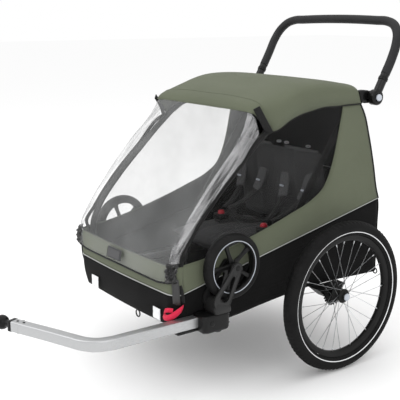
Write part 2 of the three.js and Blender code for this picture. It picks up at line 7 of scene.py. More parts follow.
# %% Load the frame
import bpy
import bmesh
import json
import math
import numpy as np
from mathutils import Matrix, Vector

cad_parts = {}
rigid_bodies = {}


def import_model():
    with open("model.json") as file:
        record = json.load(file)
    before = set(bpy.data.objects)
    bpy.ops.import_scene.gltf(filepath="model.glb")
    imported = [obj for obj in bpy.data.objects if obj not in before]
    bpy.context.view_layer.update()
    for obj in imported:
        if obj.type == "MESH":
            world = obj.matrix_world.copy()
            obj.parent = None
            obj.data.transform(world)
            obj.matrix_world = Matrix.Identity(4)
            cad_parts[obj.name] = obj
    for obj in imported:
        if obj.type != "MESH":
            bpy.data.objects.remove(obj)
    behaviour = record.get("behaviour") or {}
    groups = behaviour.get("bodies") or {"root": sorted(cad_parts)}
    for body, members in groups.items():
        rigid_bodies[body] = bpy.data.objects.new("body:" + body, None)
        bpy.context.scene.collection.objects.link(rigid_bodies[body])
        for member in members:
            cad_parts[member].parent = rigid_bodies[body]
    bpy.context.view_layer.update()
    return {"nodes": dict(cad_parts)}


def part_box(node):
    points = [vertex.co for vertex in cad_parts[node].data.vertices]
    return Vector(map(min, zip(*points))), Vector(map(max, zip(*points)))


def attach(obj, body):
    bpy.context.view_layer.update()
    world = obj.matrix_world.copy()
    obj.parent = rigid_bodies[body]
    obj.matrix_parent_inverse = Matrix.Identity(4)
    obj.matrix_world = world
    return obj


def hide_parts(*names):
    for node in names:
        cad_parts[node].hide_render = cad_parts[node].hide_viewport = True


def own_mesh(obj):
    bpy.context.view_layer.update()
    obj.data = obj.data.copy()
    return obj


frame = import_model()
tyre_low, tyre_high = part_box("tyre_left")
axle_y = (tyre_low.y + tyre_high.y) / 2
wheel_radius = (tyre_high.z - tyre_low.z) * 500
half_track = (tyre_low.x + tyre_high.x) * 500
skirt_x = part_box("side_skirt_left")[1].x * 1000
scene = bpy.context.scene
print("nodes", len(frame["nodes"]), "wheel radius", round(wheel_radius, 1), "half track",
      round(half_track, 1))


# %% [markdown]
# Most pieces are grids: rows of points computed at once with numpy. A grid can wrap round in either
# direction, and its ends can be closed with a fan, so a tube is a grid that wraps one way.

# %% Grids, sweeps and turned shapes
def place(points):
    """Design millimetres to metres in the trailer's frame: add the axle's place along Y."""
    return np.asarray(points, float) / 1000 + np.array([0, axle_y, 0])


def make(name, points, faces, material, smooth=True):
    """A mesh object at the origin, from points in metres and faces as index lists."""
    mesh = bpy.data.meshes.new(name)
    mesh.from_pydata(points.tolist(), [], faces)
    mesh.validate()
    piece = bpy.data.objects.new(name, mesh)
    scene.collection.objects.link(piece)
    mesh.materials.append(material)
    if smooth:
        mesh.shade_smooth()
    return piece


def weld(piece, outward=True):
    """Merge points that lie on each other and turn every face of a closed shape outwards."""
    work = bmesh.new()
    work.from_mesh(piece.data)
    bmesh.ops.remove_doubles(work, verts=work.verts, dist=1e-6)
    bmesh.ops.dissolve_degenerate(work, edges=work.edges, dist=1e-7)
    if outward:
        bmesh.ops.recalc_face_normals(work, faces=work.faces)
    work.to_mesh(piece.data)
    work.free()
    return piece


def grid_faces(rows, columns, wrap_columns=False):
    """Quads of a grid: (r, c), (r, c+1), (r+1, c+1), (r+1, c), with columns counted round where they wrap."""
    r = np.arange(rows - 1)[:, None]
    c = np.arange(columns if wrap_columns else columns - 1)[None, :]
    r1, c1 = r + 1, (c + 1) % columns
    quads = np.stack([r * columns + c, r * columns + c1, r1 * columns + c1, r1 * columns + c], axis=-1)
    return quads.reshape(-1, 4).tolist()


def sheet_of(name, points, material, thickness=1.2, offset=0):
    """A grid of points (rows, columns, 3) in design mm, given a thickness in mm."""
    rows, columns, _ = points.shape
    piece = make(name, place(points.reshape(-1, 3)), grid_faces(rows, columns), material)
    weld(piece, outward=False)
    wall = piece.modifiers.new("wall", "SOLIDIFY")
    wall.thickness = thickness / 1000
    wall.offset = offset
    return piece


def smooth_line(points, count):
    """A smooth line through the points: cubic Hermite pieces on chord length, with centred slopes."""
    p = np.asarray(points, float)
    t = np.concatenate([[0], np.cumsum(np.linalg.norm(np.diff(p, axis=0), axis=1))])
    slope = np.gradient(p, t, axis=0)
    s = np.linspace(0, t[-1], count)
    k = np.clip(np.searchsorted(t, s, side="right") - 1, 0, len(t) - 2)
    h = (t[k + 1] - t[k])[:, None]
    u = ((s - t[k]) / (t[k + 1] - t[k]))[:, None]
    return ((2 * u**3 - 3 * u**2 + 1) * p[k] + (u**3 - 2 * u**2 + u) * h * slope[k]
            + (-2 * u**3 + 3 * u**2) * p[k + 1] + (u**3 - u**2) * h * slope[k + 1])


def straight_line(points, count):
    """Evenly spaced points along straight stretches."""
    p = np.asarray(points, float)
    t = np.concatenate([[0], np.cumsum(np.linalg.norm(np.diff(p, axis=0), axis=1))])
    s = np.linspace(0, t[-1], count)
    return np.stack([np.interp(s, t, p[:, k]) for k in range(p.shape[1])], axis=1)


# %% [markdown]
# A tube is a section carried along a line, and a wheel part is a profile turned about its axle. Both
# are grids whose columns close on themselves, which is why they share one function for their faces.

# %% Sections, sweeps and turned shapes
def round_section(radius, sides=16):
    """A circle of points: radius (cos a, sin a)."""
    angle = np.linspace(0, 2 * np.pi, sides, endpoint=False)
    return np.stack([radius * np.cos(angle), radius * np.sin(angle)], axis=1)


def rounded_square(half, corner, steps=4):
    """A square of half width `half` whose corners are arcs of radius `corner`."""
    angle = np.linspace(0, np.pi / 2, steps + 1)
    turn = np.concatenate([angle + k * np.pi / 2 for k in range(4)])
    sign = np.repeat([[1, 1], [-1, 1], [-1, -1], [1, -1]], steps + 1, axis=0)
    return sign * (half - corner) + corner * np.stack([np.cos(turn), np.sin(turn)], axis=1)


def swept(name, path, section, material, across=(1, 0, 0), grow=None):
    """A section carried along a path: each ring is the path point plus the section's two numbers
    times two unit vectors square to the path, the second one as near `across` as it can be."""
    path = np.asarray(path, float)
    tangent = np.gradient(path, axis=0)
    tangent /= np.linalg.norm(tangent, axis=1)[:, None]
    across = np.broadcast_to(np.asarray(across, float), path.shape)
    second = across - (across * tangent).sum(1)[:, None] * tangent
    second /= np.linalg.norm(second, axis=1)[:, None]
    first = np.cross(second, tangent)
    grow = np.ones(len(path)) if grow is None else np.asarray(grow, float)
    rings = (path[:, None] + (section[None, :, :1] * first[:, None] + section[None, :, 1:] * second[:, None])
             * grow[:, None, None])
    rows, columns = rings.shape[:2]
    points = np.concatenate([rings.reshape(-1, 3), path[:1], path[-1:]])
    faces = grid_faces(rows, columns, wrap_columns=True)
    start, end = rows * columns, rows * columns + 1
    around = np.arange(columns)
    beyond = (around + 1) % columns
    faces += np.stack([np.full(columns, start), beyond, around], 1).tolist()
    last = (rows - 1) * columns
    faces += np.stack([np.full(columns, end), last + around, last + beyond], 1).tolist()
    return weld(make(name, place(points), faces, material))


def turned(name, profile, centre, material, segments=64, ripple=None):
    """A profile of (radius, x) turned about a line along X through centre (y, z)."""
    profile = np.asarray(profile, float)
    angle = np.linspace(0, 2 * np.pi, segments, endpoint=False)
    radius = np.broadcast_to(profile[:, None, 0], (len(profile), segments)).copy()
    if ripple is not None:
        radius += ripple(profile[:, None, 1], angle[None, :]) * (profile[:, None, 0] > 1)
    points = np.stack([np.broadcast_to(profile[:, None, 1], radius.shape),
                       centre[0] + radius * np.cos(angle), centre[1] + radius * np.sin(angle)], axis=-1)
    return weld(make(name, place(points.reshape(-1, 3)),
                     grid_faces(len(profile), segments, wrap_columns=True), material))


print("helpers for grids ready")

# %% [markdown]
# Left and right parts are the same points mirrored, and small parts that move as one become one object.

# %% Mirroring, joining and riding
def flip(piece_points):
    """The same points on the other side of the trailer."""
    return piece_points * np.array([-1, 1, 1])


def joined(name, pieces):
    """Several pieces made into one object; the first one keeps its data."""
    work = bmesh.new()
    for piece in pieces:
        work.from_mesh(piece.data)
    whole = pieces[0]
    work.to_mesh(whole.data)
    work.free()
    for piece in pieces[1:]:
        bpy.data.objects.remove(piece)
    whole.name = name
    whole.data.name = name
    return whole


def finish_piece(piece, body, *nodes):
    """Let a piece ride on its body and stand for its CAD nodes."""
    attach(piece, body)
    if nodes:
        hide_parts(*nodes)
    return piece


# %% [markdown]
# ## Finishes
# Weave, moulded grain and dust are shared effects, so each one is a node group that gives a colour
# mask or a height; the Principled shader itself stays in each material.

# %% Shared effects as node groups
def new_group(name, inputs, outputs):
    """An empty shader node group with named input and output sockets."""
    group = bpy.data.node_groups.new(name, "ShaderNodeTree")
    for title, kind, value in inputs:
        socket = group.interface.new_socket(title, in_out="INPUT", socket_type=kind)
        socket.default_value = value
    for title, kind in outputs:
        group.interface.new_socket(title, in_out="OUTPUT", socket_type=kind)
    return group, group.nodes.new("NodeGroupInput"), group.nodes.new("NodeGroupOutput")


def math_node(tree, operation, first, second):
    """One Math node; each operand is a socket or a number."""
    node = tree.nodes.new("ShaderNodeMath")
    node.operation = operation
    for socket, value in zip(node.inputs, (first, second)):
        if hasattr(value, "default_value") or hasattr(value, "links"):
            tree.links.new(value, socket)
        else:
            socket.default_value = value
    return node.outputs[0]


def weave_group():
    """Threads: the height is the X ridge times the Y ridge plus the Y ridge times the Z ridge, with one sine
    ridge along each axis, and the shade is a slow noise with a fine one on top."""
    group, start, end = new_group("cloth weave", [
        ("Thread scale", "NodeSocketFloat", 900), ("Blotch scale", "NodeSocketFloat", 5)],
        [("Height", "NodeSocketFloat"), ("Shade", "NodeSocketFloat")])
    place_in = group.nodes.new("ShaderNodeTexCoord").outputs["Object"]
    ridges = []
    for direction in "XYZ":
        wave = group.nodes.new("ShaderNodeTexWave")
        wave.bands_direction = direction
        group.links.new(place_in, wave.inputs["Vector"])
        group.links.new(start.outputs["Thread scale"], wave.inputs["Scale"])
        wave.inputs["Distortion"].default_value = 0.4
        ridges.append(wave.outputs["Fac"])
    pair = math_node(group, "MULTIPLY", ridges[0], ridges[1])
    both = math_node(group, "ADD", pair, math_node(group, "MULTIPLY", ridges[1], ridges[2]))
    group.links.new(both, end.inputs["Height"])
    slow, fine = (group.nodes.new("ShaderNodeTexNoise") for _ in range(2))
    for noise in (slow, fine):
        group.links.new(place_in, noise.inputs["Vector"])
    group.links.new(start.outputs["Blotch scale"], slow.inputs["Scale"])
    slow.inputs["Detail"].default_value = 4
    fine.inputs["Scale"].default_value = 420
    shade = math_node(group, "ADD", math_node(group, "MULTIPLY", slow.outputs["Fac"], 0.75),
                      math_node(group, "MULTIPLY", fine.outputs["Fac"], 0.25))
    group.links.new(shade, end.inputs["Shade"])
    return group


def grain_group():
    """Moulded grain: a fine cell pattern for the height and a slow noise that says where it is dusty."""
    group, start, end = new_group("moulded grain", [("Grain scale", "NodeSocketFloat", 700)],
                                  [("Height", "NodeSocketFloat"), ("Dust", "NodeSocketFloat")])
    place_in = group.nodes.new("ShaderNodeTexCoord").outputs["Object"]
    cells = group.nodes.new("ShaderNodeTexVoronoi")
    noise = group.nodes.new("ShaderNodeTexNoise")
    noise.inputs["Scale"].default_value = 22
    noise.inputs["Detail"].default_value = 6
    group.links.new(place_in, cells.inputs["Vector"])
    group.links.new(place_in, noise.inputs["Vector"])
    group.links.new(start.outputs["Grain scale"], cells.inputs["Scale"])
    group.links.new(cells.outputs["Distance"], end.inputs["Height"])
    group.links.new(noise.outputs["Fac"], end.inputs["Dust"])
    return group


weave, grain = weave_group(), grain_group()
print("groups", weave.name, grain.name)


# %% [markdown]
# Cloth, moulded plastic, paint and metal differ in colour, gloss and relief, so one function makes all
# cloths and another all hard finishes. Each takes its own colours and scale.

# %% Materials
def start_material(name, roughness, metallic=0.0, **sockets):
    """A node material with values set on its Principled shader."""
    material = bpy.data.materials.new(name)
    material.use_nodes = True
    tree = material.node_tree
    shader = tree.nodes["Principled BSDF"]
    shader.inputs["Roughness"].default_value = roughness
    shader.inputs["Metallic"].default_value = metallic
    for title, value in sockets.items():
        shader.inputs[title.replace("_", " ")].default_value = value
    return material, tree, shader


def ramp(tree, value, colours, stops=(0.3, 0.7)):
    """A colour ramp between two colours, driven by a value socket."""
    node = tree.nodes.new("ShaderNodeValToRGB")
    for element, stop, colour in zip(node.color_ramp.elements, stops, colours):
        element.position = stop
        element.color = (*colour, 1)
    tree.links.new(value, node.inputs["Fac"])
    return node.outputs["Color"]


def bump(tree, shader, height, strength, distance):
    """A Bump node from a height socket to the shader's Normal; distance is in metres."""
    node = tree.nodes.new("ShaderNodeBump")
    node.inputs["Strength"].default_value = strength
    node.inputs["Distance"].default_value = distance
    tree.links.new(height, node.inputs["Height"])
    tree.links.new(node.outputs["Normal"], shader.inputs["Normal"])


def cloth(name, dark, light, roughness=0.85, threads=900, strength=0.35, sheen=0.05, blotch=6, shine=0.18):
    """Woven cloth: the weave group's shade picks a colour from dark to light, its height is the relief."""
    material, tree, shader = start_material(name, roughness, Sheen_Weight=sheen, Sheen_Roughness=0.5,
                                            Specular_IOR_Level=shine)
    effect = tree.nodes.new("ShaderNodeGroup")
    effect.node_tree = weave
    effect.inputs["Thread scale"].default_value = threads
    effect.inputs["Blotch scale"].default_value = blotch
    tree.links.new(ramp(tree, effect.outputs["Shade"], (dark, light)), shader.inputs["Base Color"])
    bump(tree, shader, effect.outputs["Height"], strength, 0.0004)
    return material


def moulded(name, dark, light, roughness=0.5, scale=700, strength=0.12, metallic=0.0, shine=0.3, **sockets):
    """Moulded, painted or drawn surface: the grain group gives its colour mask and its relief."""
    material, tree, shader = start_material(name, roughness, metallic, Specular_IOR_Level=shine, **sockets)
    effect = tree.nodes.new("ShaderNodeGroup")
    effect.node_tree = grain
    effect.inputs["Grain scale"].default_value = scale
    tree.links.new(ramp(tree, effect.outputs["Dust"], (dark, light)), shader.inputs["Base Color"])
    bump(tree, shader, effect.outputs["Height"], strength, 0.0003)
    return material


def brushed_aluminium():
    """Anodised aluminium: fine lines along the drawn tube as a slight change in colour and a very small bump.
    """
    material, tree, shader = start_material("anodised aluminium", 0.44, 1.0)
    lines = tree.nodes.new("ShaderNodeTexNoise")
    stretch = tree.nodes.new("ShaderNodeMapping")
    stretch.inputs["Scale"].default_value = (260, 14, 420)
    tree.links.new(tree.nodes.new("ShaderNodeTexCoord").outputs["Object"], stretch.inputs["Vector"])
    tree.links.new(stretch.outputs["Vector"], lines.inputs["Vector"])
    tree.links.new(ramp(tree, lines.outputs["Fac"], ((0.40, 0.405, 0.41), (0.52, 0.525, 0.53))),
                   shader.inputs["Base Color"])
    bump(tree, shader, lines.outputs["Fac"], 0.08, 0.0002)
    return material


# %% [markdown]
# The cover is soft clear film and the side window a tinted one. Both are see-through by alpha and not
# by refraction, so what lies behind them isn't displaced. The rear netting is opaque.

# %% Films and netting
def clear_vinyl(name, alpha, tint, streaks=(7, 7, 7), contrast=0.05, relief=0.25):
    """Clear film: mostly see-through, with a hazy grey tint that varies along `streaks`, a noise stretched
    along the film's slope. Where the noise makes the tint denser, the light grey streaks are partly the
    film's milkiness and partly painted highlights along its folds. The same noise is its relief, so the
    denser tint and the glints go together."""
    material, tree, shader = start_material(name, 0.14, Specular_IOR_Level=0.3)
    shader.inputs["Base Color"].default_value = (*tint, 1)
    waves = tree.nodes.new("ShaderNodeTexNoise")
    waves.inputs["Scale"].default_value = 1
    waves.inputs["Detail"].default_value = 4
    slope = tree.nodes.new("ShaderNodeMapping")
    slope.vector_type = "TEXTURE"
    slope.inputs["Rotation"].default_value = (math.radians(-41), 0, 0)
    slope.inputs["Scale"].default_value = tuple(1 / value for value in streaks)
    tree.links.new(tree.nodes.new("ShaderNodeTexCoord").outputs["Object"], slope.inputs["Vector"])
    tree.links.new(slope.outputs["Vector"], waves.inputs["Vector"])
    # the alpha ramp: denser light grey streaks stand partly for the film's milkiness and partly for painted
    # highlights on its folds
    haze_and_painted_glints = ramp(tree, waves.outputs["Fac"], ((alpha - contrast,) * 3, (alpha + contrast,) * 3), (0.35, 0.65))
    tree.links.new(haze_and_painted_glints, shader.inputs["Alpha"])
    bump(tree, shader, waves.outputs["Fac"], relief, 0.01)
    return material


def window_film():
    """Tinted side window: a dark see-through film, a little cloudy."""
    material, tree, shader = start_material("side window film", 0.35, Specular_IOR_Level=0.2)
    clouds = tree.nodes.new("ShaderNodeTexNoise")
    clouds.inputs["Scale"].default_value = 9
    clouds.inputs["Detail"].default_value = 3
    tree.links.new(tree.nodes.new("ShaderNodeTexCoord").outputs["Object"], clouds.inputs["Vector"])
    tree.links.new(ramp(tree, clouds.outputs["Fac"], ((0.020, 0.020, 0.020), (0.045, 0.045, 0.045))),
                   shader.inputs["Base Color"])
    tree.links.new(ramp(tree, clouds.outputs["Fac"], ((0.10,) * 3, (0.16,) * 3)), shader.inputs["Alpha"])
    bump(tree, shader, clouds.outputs["Fac"], 0.15, 0.006)
    return material


def rear_mesh():
    """Rear window mesh: fine dark netting, drawn opaque as if a dark flap lay behind it, so nothing shows
    through it.
    """
    material, tree, shader = start_material("rear mesh", 0.85, Specular_IOR_Level=0.1)
    effect = tree.nodes.new("ShaderNodeGroup")
    effect.node_tree = weave
    effect.inputs["Blotch scale"].default_value = 3
    tree.links.new(ramp(tree, effect.outputs["Shade"], ((0.010,) * 3, (0.018,) * 3)),
                   shader.inputs["Base Color"])
    return material


# %% [markdown]
# The trailer's own finishes. Colours are linear values; the blacks are never quite zero.

# %% The trailer's finishes
green = cloth("sage cloth", (0.100, 0.111, 0.075), (0.118, 0.131, 0.089))
black_cloth = cloth("black cloth", (0.004, 0.004, 0.004), (0.008, 0.008, 0.008), 0.8, sheen=0.02, shine=0.07)
lining = cloth("black lining", (0.006, 0.006, 0.006), (0.012, 0.012, 0.012), 0.95, shine=0.05)
seat_cloth = cloth("seat cloth", (0.034, 0.034, 0.035), (0.048, 0.048, 0.049), 0.9, 900, 0.05)
pad_cloth = cloth("headrest cloth", (0.075, 0.075, 0.077), (0.100, 0.100, 0.103), 0.9, 900, 0.05)
web = cloth("webbing", (0.008, 0.008, 0.008), (0.015, 0.015, 0.015), 0.7, 1500, 0.8)
ruffle = cloth("elastic ruffle", (0.008, 0.008, 0.008), (0.02, 0.02, 0.02), 0.35, 900, 0.3, shine=0.6)
pink_web = cloth("release webbing", (0.50, 0.012, 0.045), (0.70, 0.024, 0.07), 0.6, 1500, 0.5)
piping_black = cloth("black piping", (0.005, 0.005, 0.005), (0.008, 0.008, 0.008), 0.6, 1500, 0.5)
piping_silver = cloth("reflective piping", (0.34, 0.35, 0.34), (0.46, 0.47, 0.46), 0.4, 1500, 0.3)
window = window_film()
mesh_cloth = rear_mesh()
vinyl = clear_vinyl("clear cover film", 0.085, (0.66, 0.67, 0.67), (7, 7, 7), 0.02, 0.10)
# folded film: strong streak contrast, so its light grey streaks are partly painted highlights along the folds
vinyl_edge = clear_vinyl("folded film", 0.22, (0.66, 0.66, 0.67), (60, 95, 6), 0.17, 1.0)
tube_black = moulded("powder coat", (0.005, 0.005, 0.005), (0.009, 0.009, 0.009), 0.34, 900, 0.1, shine=0.28)
plastic_black = moulded("black nylon", (0.003, 0.003, 0.003), (0.006, 0.006, 0.006), 0.30, 800, 0.12,
                        shine=0.2)
plastic_dark = moulded("caster nylon", (0.010, 0.010, 0.010), (0.016, 0.016, 0.016), 0.38, 800, 0.15,
                       shine=0.3)
plastic_grey = moulded("grey button plastic", (0.42, 0.45, 0.50), (0.52, 0.55, 0.60), 0.45)
red_plastic = moulded("red button plastic", (0.36, 0.016, 0.028), (0.46, 0.022, 0.036), 0.45)
rubber = moulded("tyre rubber", (0.004, 0.004, 0.004), (0.008, 0.008, 0.008), 0.7, 500, 0.2, shine=0.12)
caster_rubber = moulded("caster rubber", (0.004, 0.004, 0.004), (0.008, 0.008, 0.008), 0.6, 500, 0.2,
                        shine=0.15)
stripe = moulded("reflective stripe", (0.72, 0.73, 0.74), (0.84, 0.85, 0.86), 0.35, 1400, 0.2)
rim_black = moulded("anodised rim", (0.003, 0.003, 0.003), (0.006, 0.006, 0.006), 0.5, 900, 0.05, shine=0.2)
steel = moulded("spoke steel", (0.55, 0.56, 0.57), (0.68, 0.69, 0.70), 0.3, 1200, 0.05, 1.0)
lens = moulded("reflector lens", (0.70, 0.71, 0.72), (0.86, 0.87, 0.88), 0.2, 330, 0.9, Coat_Weight=0.6)
aluminium = brushed_aluminium()
print("materials", len(bpy.data.materials))

# %% [markdown]
# ## Room, light and camera
# A pale floor, a large soft key from the front left, a weaker fill and a top light. The camera stands
# low at the front left corner, as a person would crouch to look at the trailer.

# %% Stage and camera
def stage():
    """A pale matt floor and an even white world."""
    bpy.ops.mesh.primitive_plane_add(size=60, location=(0, 0, 0))
    floor = bpy.context.object
    floor.name = "floor"
    material, _, _ = start_material("pale floor", 0.9)
    material.node_tree.nodes["Principled BSDF"].inputs["Base Color"].default_value = (0.97, 0.97, 0.97, 1)
    material.node_tree.nodes["Principled BSDF"].inputs["Specular IOR Level"].default_value = 0.0
    floor.data.materials.append(material)
    world = bpy.data.worlds.new("soft room")
    world.use_nodes = True
    world.node_tree.nodes["Background"].inputs["Color"].default_value = (1, 1, 1, 1)
    world.node_tree.nodes["Background"].inputs["Strength"].default_value = 1.0
    scene.world = world


def area_light(name, where, aim, energy, size):
    """A square soft light at `where` that looks at `aim`."""
    light = bpy.data.lights.new(name, "AREA")
    light.energy, light.size = energy, size
    lamp = bpy.data.objects.new(name, light)
    lamp.location = where
    lamp.rotation_euler = (Vector(aim) - Vector(where)).to_track_quat("-Z", "Y").to_euler()
    scene.collection.objects.link(lamp)


def camera(position, azimuth, elevation, lens_mm):
    """The camera looks along the direction that its azimuth and elevation give, with no roll."""
    data = bpy.data.cameras.new("camera")
    data.lens, data.sensor_width = lens_mm, 36
    eye = bpy.data.objects.new("camera", data)
    eye.location = position
    eye.rotation_euler = (math.radians(90 - elevation), 0, math.radians(azimuth))
    scene.collection.objects.link(eye)
    scene.camera = eye


stage()
area_light("key", (-1.2, -3.4, 3.6), (0, 0, 0.4), 62, 2.6)
area_light("fill", (3.6, -1.0, 2.2), (0, 0, 0.5), 24, 2.5)
area_light("top", (0.2, 0.3, 4.2), (0, 0, 0.5), 40, 4.5)
camera(place([2167.8, -1870.2, 1146.6]), 54.04, 12.79, 74.26)
scene.view_settings.view_transform = "Standard"
print("camera at", tuple(round(v, 3) for v in scene.camera.location))

# %% [markdown]
# ## Soft walls
# The cabin is sewn from panels that are stretched between tubes. Each one is lofted between two
# edge lines, so neighbours share an edge and no gap opens. Reflective piping covers the lower seam.

# %% Edge lines of the side wall, as (y, z)
belt_front, belt_rear = (-565, 344), (251, 526)
skirt_bottom = [(-565, 232), (-383, 235), (-271, 249), (-150, 262), (-70, 268), (70, 268), (160, 265),
                (251, 262)]
window_edge = [(-568, 431), (-500, 437), (-400, 456), (-284, 485), (-154, 525), (-60, 560), (-15, 590),
               (10, 630), (30, 686), (48, 765), (61, 832), (64, 854)]
pillar_edge = [(-568, 431), (-573, 445), (-541, 498), (-450, 610), (-358, 699), (-262, 788), (-235, 797)]
roof_edge = [(-235, 796), (-163, 825), (-101, 842), (-29, 853), (40, 855), (64, 854)]
rear_edge = [(251, 526), (240, 556), (219, 644), (190, 748), (164, 822), (142, 858)]


def loft(first, second, columns=12):
    """Points between two lines of equal count: first * (1 - v) + second * v."""
    v = np.linspace(0, 1, columns)[None, :, None]
    return first[:, None] * (1 - v) + second[:, None] * v


def upright(yz, x, swell=0.0):
    """(y, z) grid points stood at x, pushed out by `swell` in the middle of the grid: sin(u) sin(v)."""
    rows, columns, _ = yz.shape
    push = swell * np.sin(np.linspace(0, np.pi, rows))[:, None] * np.sin(np.linspace(0, np.pi,
                                                                                     columns))[None, :]
    return np.concatenate([(x + push)[:, :, None], yz], axis=2)


# %% [markdown]
# The side has a black skirt below, a green panel round the window and a dark film in it. On the real
# one these would be sewn together. The seams are drawn as cords, which hide where two panels meet.

# %% Side walls
def side_walls(side):
    """Black skirt, green panel and dark window of one side; side is +1 for the left, -1 for the right."""
    name = "left" if side > 0 else "right"
    turn = (lambda points: points) if side > 0 else flip
    belt = straight_line([belt_front, belt_rear], 60)
    skirt = loft(smooth_line(skirt_bottom, 60), belt, 14)
    finish_piece(sheet_of(f"skirt_cloth_{name}", turn(upright(skirt, skirt_x - 1, 2.5)), black_cloth),
                 "chassis", f"side_skirt_{name}")
    opening = smooth_line(window_edge, 80)
    split = 52
    outer = np.concatenate([straight_line([belt_front, belt_rear], split),
                            smooth_line(rear_edge, 81 - split)[1:]])
    panel = sheet_of(f"green_panel_{name}", turn(upright(loft(outer, opening), skirt_x, 3.0)), green)
    top = np.concatenate([smooth_line(pillar_edge, 50), smooth_line(roof_edge, 31)[1:]])
    glass = sheet_of(f"window_mesh_{name}", turn(upright(loft(opening, top, 16), skirt_x - 2.5, -3.0)),
                     window, 0.6)
    inner = sheet_of(f"side_lining_{name}", turn(upright(loft(outer, opening), skirt_x - 4, 1.0)), lining,
                     0.8)
    seams = [
        ("belt_piping", belt, 1.4, piping_silver, skirt_x + 1.2),
        ("window_binding", opening, 1.8, green, skirt_x + 0.5),
        ("rear_piping", smooth_line(rear_edge, 40), 3.2, piping_black, skirt_x),
        ("pillar_binding", smooth_line(pillar_edge, 50), 6.0, piping_black, skirt_x - 3),
    ]
    cords = [swept(f"{title}_{name}", turn(np.column_stack([np.full(len(line), x), line])),
                   round_section(radius, 8), material) for title, line, radius, material, x in seams]
    finish_piece(panel, "chassis", f"side_panel_{name}")
    for piece in (glass, inner, *cords):
        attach(piece, "chassis")
    return [panel, glass, inner, *cords[1:]]


fold_with_cabin = side_walls(1) + side_walls(-1)
print("side pieces", len(fold_with_cabin))


# %% [markdown]
# The front is a black apron with a green band above it. Both follow one plan line with round corners,
# so the piping between them lies on the same line.

# %% Front panel
def front_plan(inset=0.0, count=72):
    """The front seen from above: round corners and a face that bows forward by a few millimetres."""
    radius, front = 36 - inset, -601 + inset
    x_edge = skirt_x - inset
    angle = np.linspace(0, np.pi / 2, 12)
    corner = np.stack([x_edge - radius + radius * np.cos(angle), -565 - radius * np.sin(angle)], axis=1)
    x = np.linspace(x_edge - radius, -(x_edge - radius), count)[1:-1]
    face = np.stack([x, front - 7 * np.cos(x / (x_edge - radius) * np.pi / 2)], axis=1)
    return np.concatenate([corner, face, (corner * [-1, 1])[::-1]])


def front_wall(heights, inset, lean=0.0, swell=0.0):
    """The plan line repeated at each height; the foot leans back by `lean` and the middle swells."""
    plan = front_plan(inset)
    t = np.linspace(0, 1, len(heights))[None, :]
    x = np.repeat(plan[:, :1], len(heights), axis=1)
    y = plan[:, 1:] + lean * (1 - t) ** 2 - swell * np.sin(np.pi * t)
    return np.stack([x, y, np.broadcast_to(np.asarray(heights, float)[None, :], x.shape)], axis=-1)


front_black = finish_piece(sheet_of("front_apron", front_wall(np.linspace(238, 343, 12), 0, 16, 1),
                                    black_cloth), "chassis", "front_panel")
finish_piece(sheet_of("front_band", front_wall(np.linspace(343, 430, 10), 0, 0, 2), green),
                           "chassis")
plan = front_plan(-1.5)
finish_piece(swept("front_piping", np.column_stack([plan, np.full(len(plan), 343)]),
                                  round_section(1.7, 8), piping_silver, (0, 0, 1)), "chassis")
finish_piece(swept("band_binding", np.column_stack([front_plan(1), np.full(len(plan), 430)]),
                                  round_section(2.4, 8), piping_black, (0, 0, 1)), "chassis")
u, v = np.meshgrid(np.linspace(-1, 1, 25), np.linspace(-1, 1, 13), indexing="ij")
patch = np.stack([-8 + 41 * u, -621.5 - 2.2 * (1 - u**8) * (1 - v**8) - 3 * (1 - v), 409 + 17 * v], axis=-1)
finish_piece(sheet_of("plain_sewn_patch", patch, pad_cloth, 2.0), "cabin_frame")
stitch = np.array([(-8 + 38 * a, -625.5 - 3 * (1 - b) + 0.3, 409 + 14.5 * b) for a, b in
                   [(-1, -1), (-1, 0), (-1, 1), (0, 1), (1, 1), (1, 0), (1, -1), (0, -1), (-1, -1)]])
finish_piece(swept("patch_stitch", straight_line(stitch, 60), round_section(0.5, 6), web, (0.2, 1, 0.1)),
             "cabin_frame")
print("front panel", len(front_black.data.polygons))


# %% [markdown]
# The rear wall leans forward towards the roof and ends under the roof's edge. The pocket is a copy of
# part of the wall's grid, pushed outwards, so it follows the wall's curve.

# %% Rear wall
def rear_wall():
    """Cloth below, a dark mesh window above and a pocket that hangs open a little at its top."""
    line = smooth_line([(254, 264), (254.5, 430), (251, 526), *rear_edge[1:-1], (152, 846), (143, 866),
                        (139, 876)], 80)
    x = np.linspace(-skirt_x, skirt_x, 40)
    swell = 6 * np.cos(x / skirt_x * np.pi / 2)[:, None] * np.sin(np.linspace(0, np.pi, 80))[None, :]
    wall = np.stack(np.broadcast_arrays(x[:, None], line[None, :, 0] + swell, line[None, :, 1]), axis=-1)
    lower = sheet_of("rear_cloth", wall[:, :44], black_cloth)
    upper = sheet_of("rear_window", wall[:, 43:], mesh_cloth, 0.8)
    rows = wall[6:-6, 14:38].copy()
    bag = np.sin(np.linspace(0.15, np.pi, rows.shape[0]))[:, None] * np.linspace(0.15, 1,
                                                                                 rows.shape[1])[None, :]
    rows[..., 1] += 4 + 16 * np.clip(bag, 0, 1)
    pocket = sheet_of("rear_pocket", rows, black_cloth, 1.5)
    hem = swept("pocket_hem", rows[:, -1] + [0, 1, 0], round_section(3.2, 8), web, (0, 0, 1))
    band = wall[:, 43] + [0, 1.5, 0]
    seam = swept("rear_seam_piping", band, round_section(2.6, 8), piping_silver, (0, 0, 1))
    finish_piece(lower, "chassis", "rear_skirt")
    finish_piece(upper, "chassis", "rear_panel")
    for piece in (pocket, hem, seam):
        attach(piece, "chassis")
    return [upper, lower, pocket, hem, seam]


fold_with_cabin += rear_wall()

# %% [markdown]
# ## Roof
# The roof is one sheet over two bows. Across the trailer it follows a rounded box: nearly flat on
# top, round at the shoulders and straight down to the side edge. Its front lip hangs over the cover.

